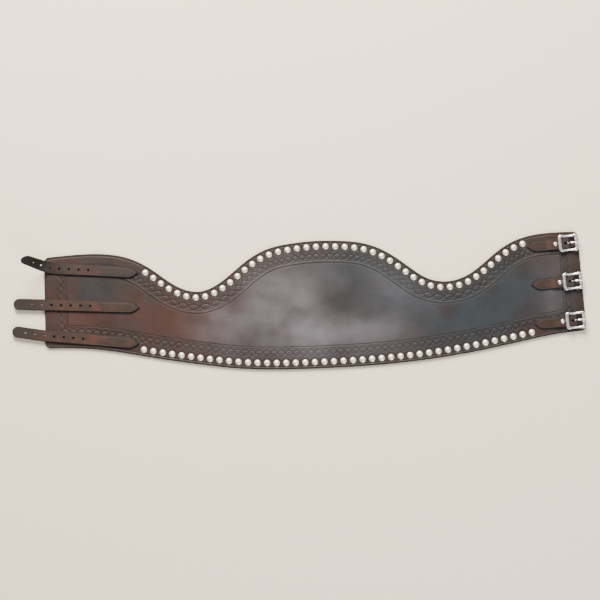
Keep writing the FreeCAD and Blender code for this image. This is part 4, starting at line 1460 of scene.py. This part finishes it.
    def tab_path(self) -> tuple[Array, Array, Array]:
        """Middle line of the tab in side view: out over the belt, round the centre bar and back under.

        Straight runs join through a blended step onto the returning layer and a fold that wraps the
        bar on a circle half a layer outside it; a moving mean rounds the joins.

        Returns:
            Points (x, z), distance along, and thickness at each.
        """
        inner = self.bar_radius + 0.15 * MM
        radius = inner + 0.5 * self.layer
        sewn, raised = BELT_FACE + 0.5 * self.tab_thickness, BELT_FACE + 1.5 * self.layer + 0.03 * MM
        away = math.hypot(self.foot, raised - self.bar_height)
        leave = (math.atan2(raised - self.bar_height, self.foot) % (2.0 * math.pi)) - math.acos(radius / away)
        wrap = np.linspace(leave, -0.5 * math.pi, 40)
        fold = np.stack([radius * np.cos(wrap), self.bar_height + radius * np.sin(wrap)], axis=-1)
        start = np.array([[-self.tab_length, sewn], [-self.return_end - self.skive, sewn],
                          [-self.return_end + 0.5 * MM, raised], [self.foot, raised]])
        corners = np.concatenate([start, fold, [[-self.return_end + 0.4 * MM, BELT_FACE + 0.5 * self.layer]]])
        way = np.concatenate([[0.0], np.cumsum(np.linalg.norm(np.diff(corners, axis=0), axis=1))])
        near = np.array([0.0, 0.1, 0.3, 0.7, 1.3, 2.1, 3.1, 4.3, 5.7, 7.3]) * MM
        stops = np.concatenate([near, np.arange(8.3 * MM, way[-1], 0.55 * MM), [way[-1]]])
        path = np.stack([np.interp(stops, way, corners[:, k]) for k in (0, 1)], axis=-1)
        kernel = np.ones(5) / 5.0
        inner_path = np.stack([np.convolve(path[:, k], kernel, "valid") for k in (0, 1)], axis=-1)
        keep = np.hypot(path[:, 0], path[:, 1] - self.bar_height) < radius + 0.6 * MM
        path[2:-2] = np.where(keep[2:-2, None], path[2:-2], inner_path)
        thin = ease((path[:, 0] + self.return_end + self.skive) / self.skive)
        under = np.arange(len(path)) > np.argmax(path[:, 0])
        thick = self.tab_thickness + (self.layer - self.tab_thickness) * np.where(under, 1.0, thin)
        return path, stops, thick - 0.04 * MM

    def tab_shell(self) -> Shell:
        """The tab: a strap section carried along that line, pointed at its sewn end."""
        path, way, thick = self.tab_path()
        half = 0.5 * self.strap
        wide = np.maximum(ogive(way, self.tab_taper, half), 0.15 * MM)
        slope = np.gradient(wide, way)
        groove = ease((self.tab_length - self.return_end - self.skive - way) / (1.0 * MM))
        end = np.minimum(way * 0.7, way[-1] - way + 2.0 * MM)
        rings, inset = self.section.rings(wide, slope, thick, end, groove)
        ahead = np.gradient(path, axis=0)
        ahead /= np.linalg.norm(ahead, axis=1)[:, None]
        up = np.stack([-ahead[:, 1], np.zeros(len(ahead)), ahead[:, 0]], axis=-1)
        at = np.stack([path[:, 0], np.zeros(len(path)), path[:, 1]], axis=-1)
        points = at[:, None] + up[:, None] * rings[..., 1:]
        points[..., 1] += rings[..., 0]
        quads, caps = loft(points)
        along = np.repeat(way[:, None], rings.shape[1], axis=1)
        marks = np.stack([along, inset], axis=-1).reshape(-1, 2)
        # Painted shade: the tab grows darker towards the fold inside the buckle, where it lies in shade.
        darkened_and_shaded = 0.55 * ease((along - 38.0 * MM) / (18.0 * MM))
        shell = Shell(points.reshape(-1, 3), [quads, caps], [0, 0], [marks[quads], marks[caps]],
                      {"darkened_and_shaded": darkened_and_shaded.reshape(-1), "stitched": np.repeat(groove, rings.shape[1])})
        return shell.outward()

    def slot_cutter(self) -> Shell:
        """The tongue's slot: an upright stadium from behind the bar out past the fold."""
        r, reach = 0.5 * self.slot_width, self.slot_reach
        angle = np.linspace(0.5 * np.pi, 1.5 * np.pi, 11)
        back = np.stack([-reach + r + r * np.cos(angle), r * np.sin(angle)], axis=-1)
        plan = np.concatenate([back, [[8.0 * MM, -r], [8.0 * MM, r]]])
        rings = np.stack([np.column_stack([plan, np.full(len(plan), z)]) for z in (1.0 * MM, 20.0 * MM)])
        return Shell(rings.reshape(-1, 3), loft(rings), [0, 0]).outward()

    def rivet_shell(self) -> Shell:
        """The rivet's head: a low dome with a rolled rim and a small dimple from the setting tool."""
        r, h = self.rivet_radius, self.rivet_height
        profile = np.array([[0.01, 0.86], [0.16, 0.88], [0.28, 0.97], [0.4, 0.97], [0.6, 0.84], [0.78, 0.58],
                            [0.9, 0.34], [0.98, 0.16], [1.0, 0.06], [0.97, -0.04], [0.01, -0.05]])
        shell = lathe(profile * np.array([r, h]), 24)
        out = np.hypot(shell.points[:, 0], shell.points[:, 1])
        shell.tones = {"soil_and_shade": np.maximum(0.8 * ease((out - 0.8 * r) / (0.2 * r)), 0.5 * ridge(out, 0.2 * r))}
        return shell

    def burr_shell(self) -> Shell:
        """The burr at the back: a washer dished towards the rivet's peened end."""
        profile = np.array([[0.01, 0.28], [0.9, 0.3], [1.35, 0.16], [1.7, 0.02], [1.9, 0.1], [3.4, 0.16],
                            [3.9, 0.06], [4.0, -0.2], [3.9, -0.7], [0.01, -0.7]]) * MM
        shell = lathe(profile, 24)
        shell.points[:, 2] *= -1.0
        shell.tones = {"soil_and_shade": np.full(len(shell.points), 0.3)}
        return shell.outward()

    def build(self, leather: bpy.types.Material, metal: bpy.types.Material, thread: bpy.types.Material) -> None:
        """Make the tab, frame, tongue, rivet, burr and stitching.

        Args:
            leather: Material of the tab.
            metal: Material of the buckle and rivet.
            thread: Material of the stitches.
        """
        bar, turn = joint_place("buckle_%s_rock" % self.name)
        base = np.array([bar[0], bar[1], 0.0])
        tab = make_object("buckle_tab_" + self.name, placed(self.tab_shell(), base, turn), [leather], crease=45.0)
        cut_away(tab, placed(self.slot_cutter(), base, turn))
        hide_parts("buckle_%s_tab" % self.name, "buckle_%s_loop" % self.name)
        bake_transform(tab)
        whole = side_by_side(self.frame_shell(), self.bar_shell())
        rivet_box = np.array(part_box("buckle_%s_rivet" % self.name))
        rivet = 0.5 * (rivet_box[0] + rivet_box[1])
        top = 2.0 * self.layer + BELT_FACE
        parts = (
            ("frame", placed(whole, base, turn), "frame_" + self.name),
            ("tongue", placed(self.tongue_shell(), base, turn), "tongue_" + self.name),
            ("rivet", placed(self.rivet_shell(), (rivet[0], rivet[1], top), turn), "belt_right_end"),
            ("burr", placed(self.burr_shell(), (rivet[0], rivet[1], 0.0), turn), "belt_right_end"),
        )
        for part, shell, body in parts:
            piece = make_object("buckle_%s_of_%s" % (part, self.name), shell, [metal], crease=50.0)
            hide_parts("buckle_%s_%s" % (self.name, part))
            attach(piece, body)
        start = -self.return_end - self.skive - 4.2 * MM
        places = stitch_line(start, -self.tab_length, 0.5 * self.strap, self.tab_taper)
        one, level = stitch(), BELT_FACE + self.tab_thickness - 0.28 * MM
        sewing = joined([placed(one, (x, y, level), angle) for x, y, angle in places])
        sew("buckle_stitches_" + self.name, "buckle_%s_stitching" % self.name, "belt_right_end",
            placed(sewing, base, turn), thread)
        log.info("buckle %s: %d stitches", self.name, len(places))


# ---------------------------------------------------------------- stage
@dataclass
class Studio:
    """Pale floor, soft light from beyond the double-dipped edge, and a steep camera."""

    target: tuple[float, float, float] = (-0.030, 0.0097, 0.0)
    distance: float = 3.0
    elevation: float = 83.0
    roll: float = 2.6
    span: float = 1.002
    sensor: float = 36.0
    floor_drop: float = 0.6 * MM
    sky_colour: str = "#f2f2f4"
    sky_strength: float = 0.4

    def floor(self, paint: bpy.types.Material) -> None:
        """A wide gently ringed disc just under the belt."""
        profile = np.array([[1e-4, 0.0], [0.5, 0.0], [1.5, 0.0], [4.0, 0.0], [4.0, -0.02], [1e-4, -0.02]])
        disc = lathe(profile, 64)
        disc.points[:, 2] -= self.floor_drop
        make_object("floor", disc, [paint])

    def camera(self) -> None:
        """Look at the target from the bowed edge's side, high up, rolled so that the belt rises rightwards."""
        tilt, roll = math.radians(self.elevation), math.radians(self.roll)
        aim = Vector(self.target)
        back = Vector((0.0, -math.cos(tilt), math.sin(tilt)))
        right = Vector((1.0, 0.0, 0.0))
        up = back.cross(right)
        across = right * math.cos(roll) - up * math.sin(roll)
        above = up * math.cos(roll) + right * math.sin(roll)
        data = bpy.data.cameras.new("camera")
        data.sensor_width = self.sensor
        data.lens = self.sensor * self.distance / self.span
        camera = bpy.data.objects.new("camera", data)
        turn = Matrix((across, above, back)).transposed().to_4x4()
        camera.matrix_world = Matrix.Translation(aim + back * self.distance) @ turn
        bpy.context.scene.collection.objects.link(camera)
        bpy.context.scene.camera = camera

    def light(self, name: str, place: tuple[float, float, float], size: float, power: float, colour: str) -> None:
        """One square softbox aimed at the belt.

        Args:
            name: Name of the lamp.
            place: Where it stands.
            size: Side of the square.
            power: Its power in watts.
            colour: Hex colour of its light.
        """
        data = bpy.data.lights.new(name, "AREA")
        data.energy, data.size, data.color = power, size, linear(colour)[:3]
        lamp = bpy.data.objects.new(name, data)
        lamp.location = place
        lamp.rotation_mode = "QUATERNION"
        lamp.rotation_quaternion = (Vector(place) - Vector(self.target)).to_track_quat("Z", "Y")
        bpy.context.scene.collection.objects.link(lamp)

    def build(self, paint: bpy.types.Material) -> None:
        """Set up the floor, sky, lamps and camera."""
        self.floor(paint)
        world = bpy.data.worlds.new("pale_sky")
        world.use_nodes = True
        sky = world.node_tree.nodes["Background"]
        sky.inputs["Color"].default_value = linear(self.sky_colour)
        sky.inputs["Strength"].default_value = self.sky_strength
        bpy.context.scene.world = world
        self.light("key", (-0.3, 2.1, 1.7), 1.6, 290.0, "#fff8ee")
        self.light("fill", (0.9, -2.2, 1.7), 1.8, 85.0, "#f4f6ff")
        self.camera()


def main() -> None:
    """Build every piece in order and report it."""
    logging.basicConfig(level=logging.INFO, format="%(message)s")
    tooled, flesh = TooledLeather().material(), FleshSide().material()
    billet_leather = StrapLeather("billet_strap_leather").material()
    tab_leather = StrapLeather("buckle_tab_leather", face="#26170f", warm="#33160e").material()
    pressed = Nickel("pressed_nickel", satin=0.5).material()
    cast = Nickel("cast_nickel", metal="#f3eff0").material()
    thread = WaxedThread().material()
    belt = Belt()
    belt.build(tooled, flesh)
    belt.build_spots(pressed)
    billets = (
        # The top billet's free end is twisted away from the key light, so it is painted darker all over and
        # darkest at the tip: painted shade.
        Billet("top", 143.0 * MM, 26.0 * MM, side_run=70.0 * MM, side_bend=12.0, curl_run=68.0 * MM, curl=50.0,
               twist=46.0, tip_darkening=1.0, painted_shade=0.45),
        Billet("middle", 146.3 * MM, 31.0 * MM),
        Billet("bottom", 148.7 * MM, 22.0 * MM, side_run=91.0 * MM, side_bend=3.7),
    )
    for billet in billets:
        billet.build(billet_leather, thread)
    for name in ("top", "middle", "bottom"):
        Buckle(name).build(tab_leather, cast, thread)
    Studio().build(PaleFloor().material())


if __name__ == "__main__":
    main()
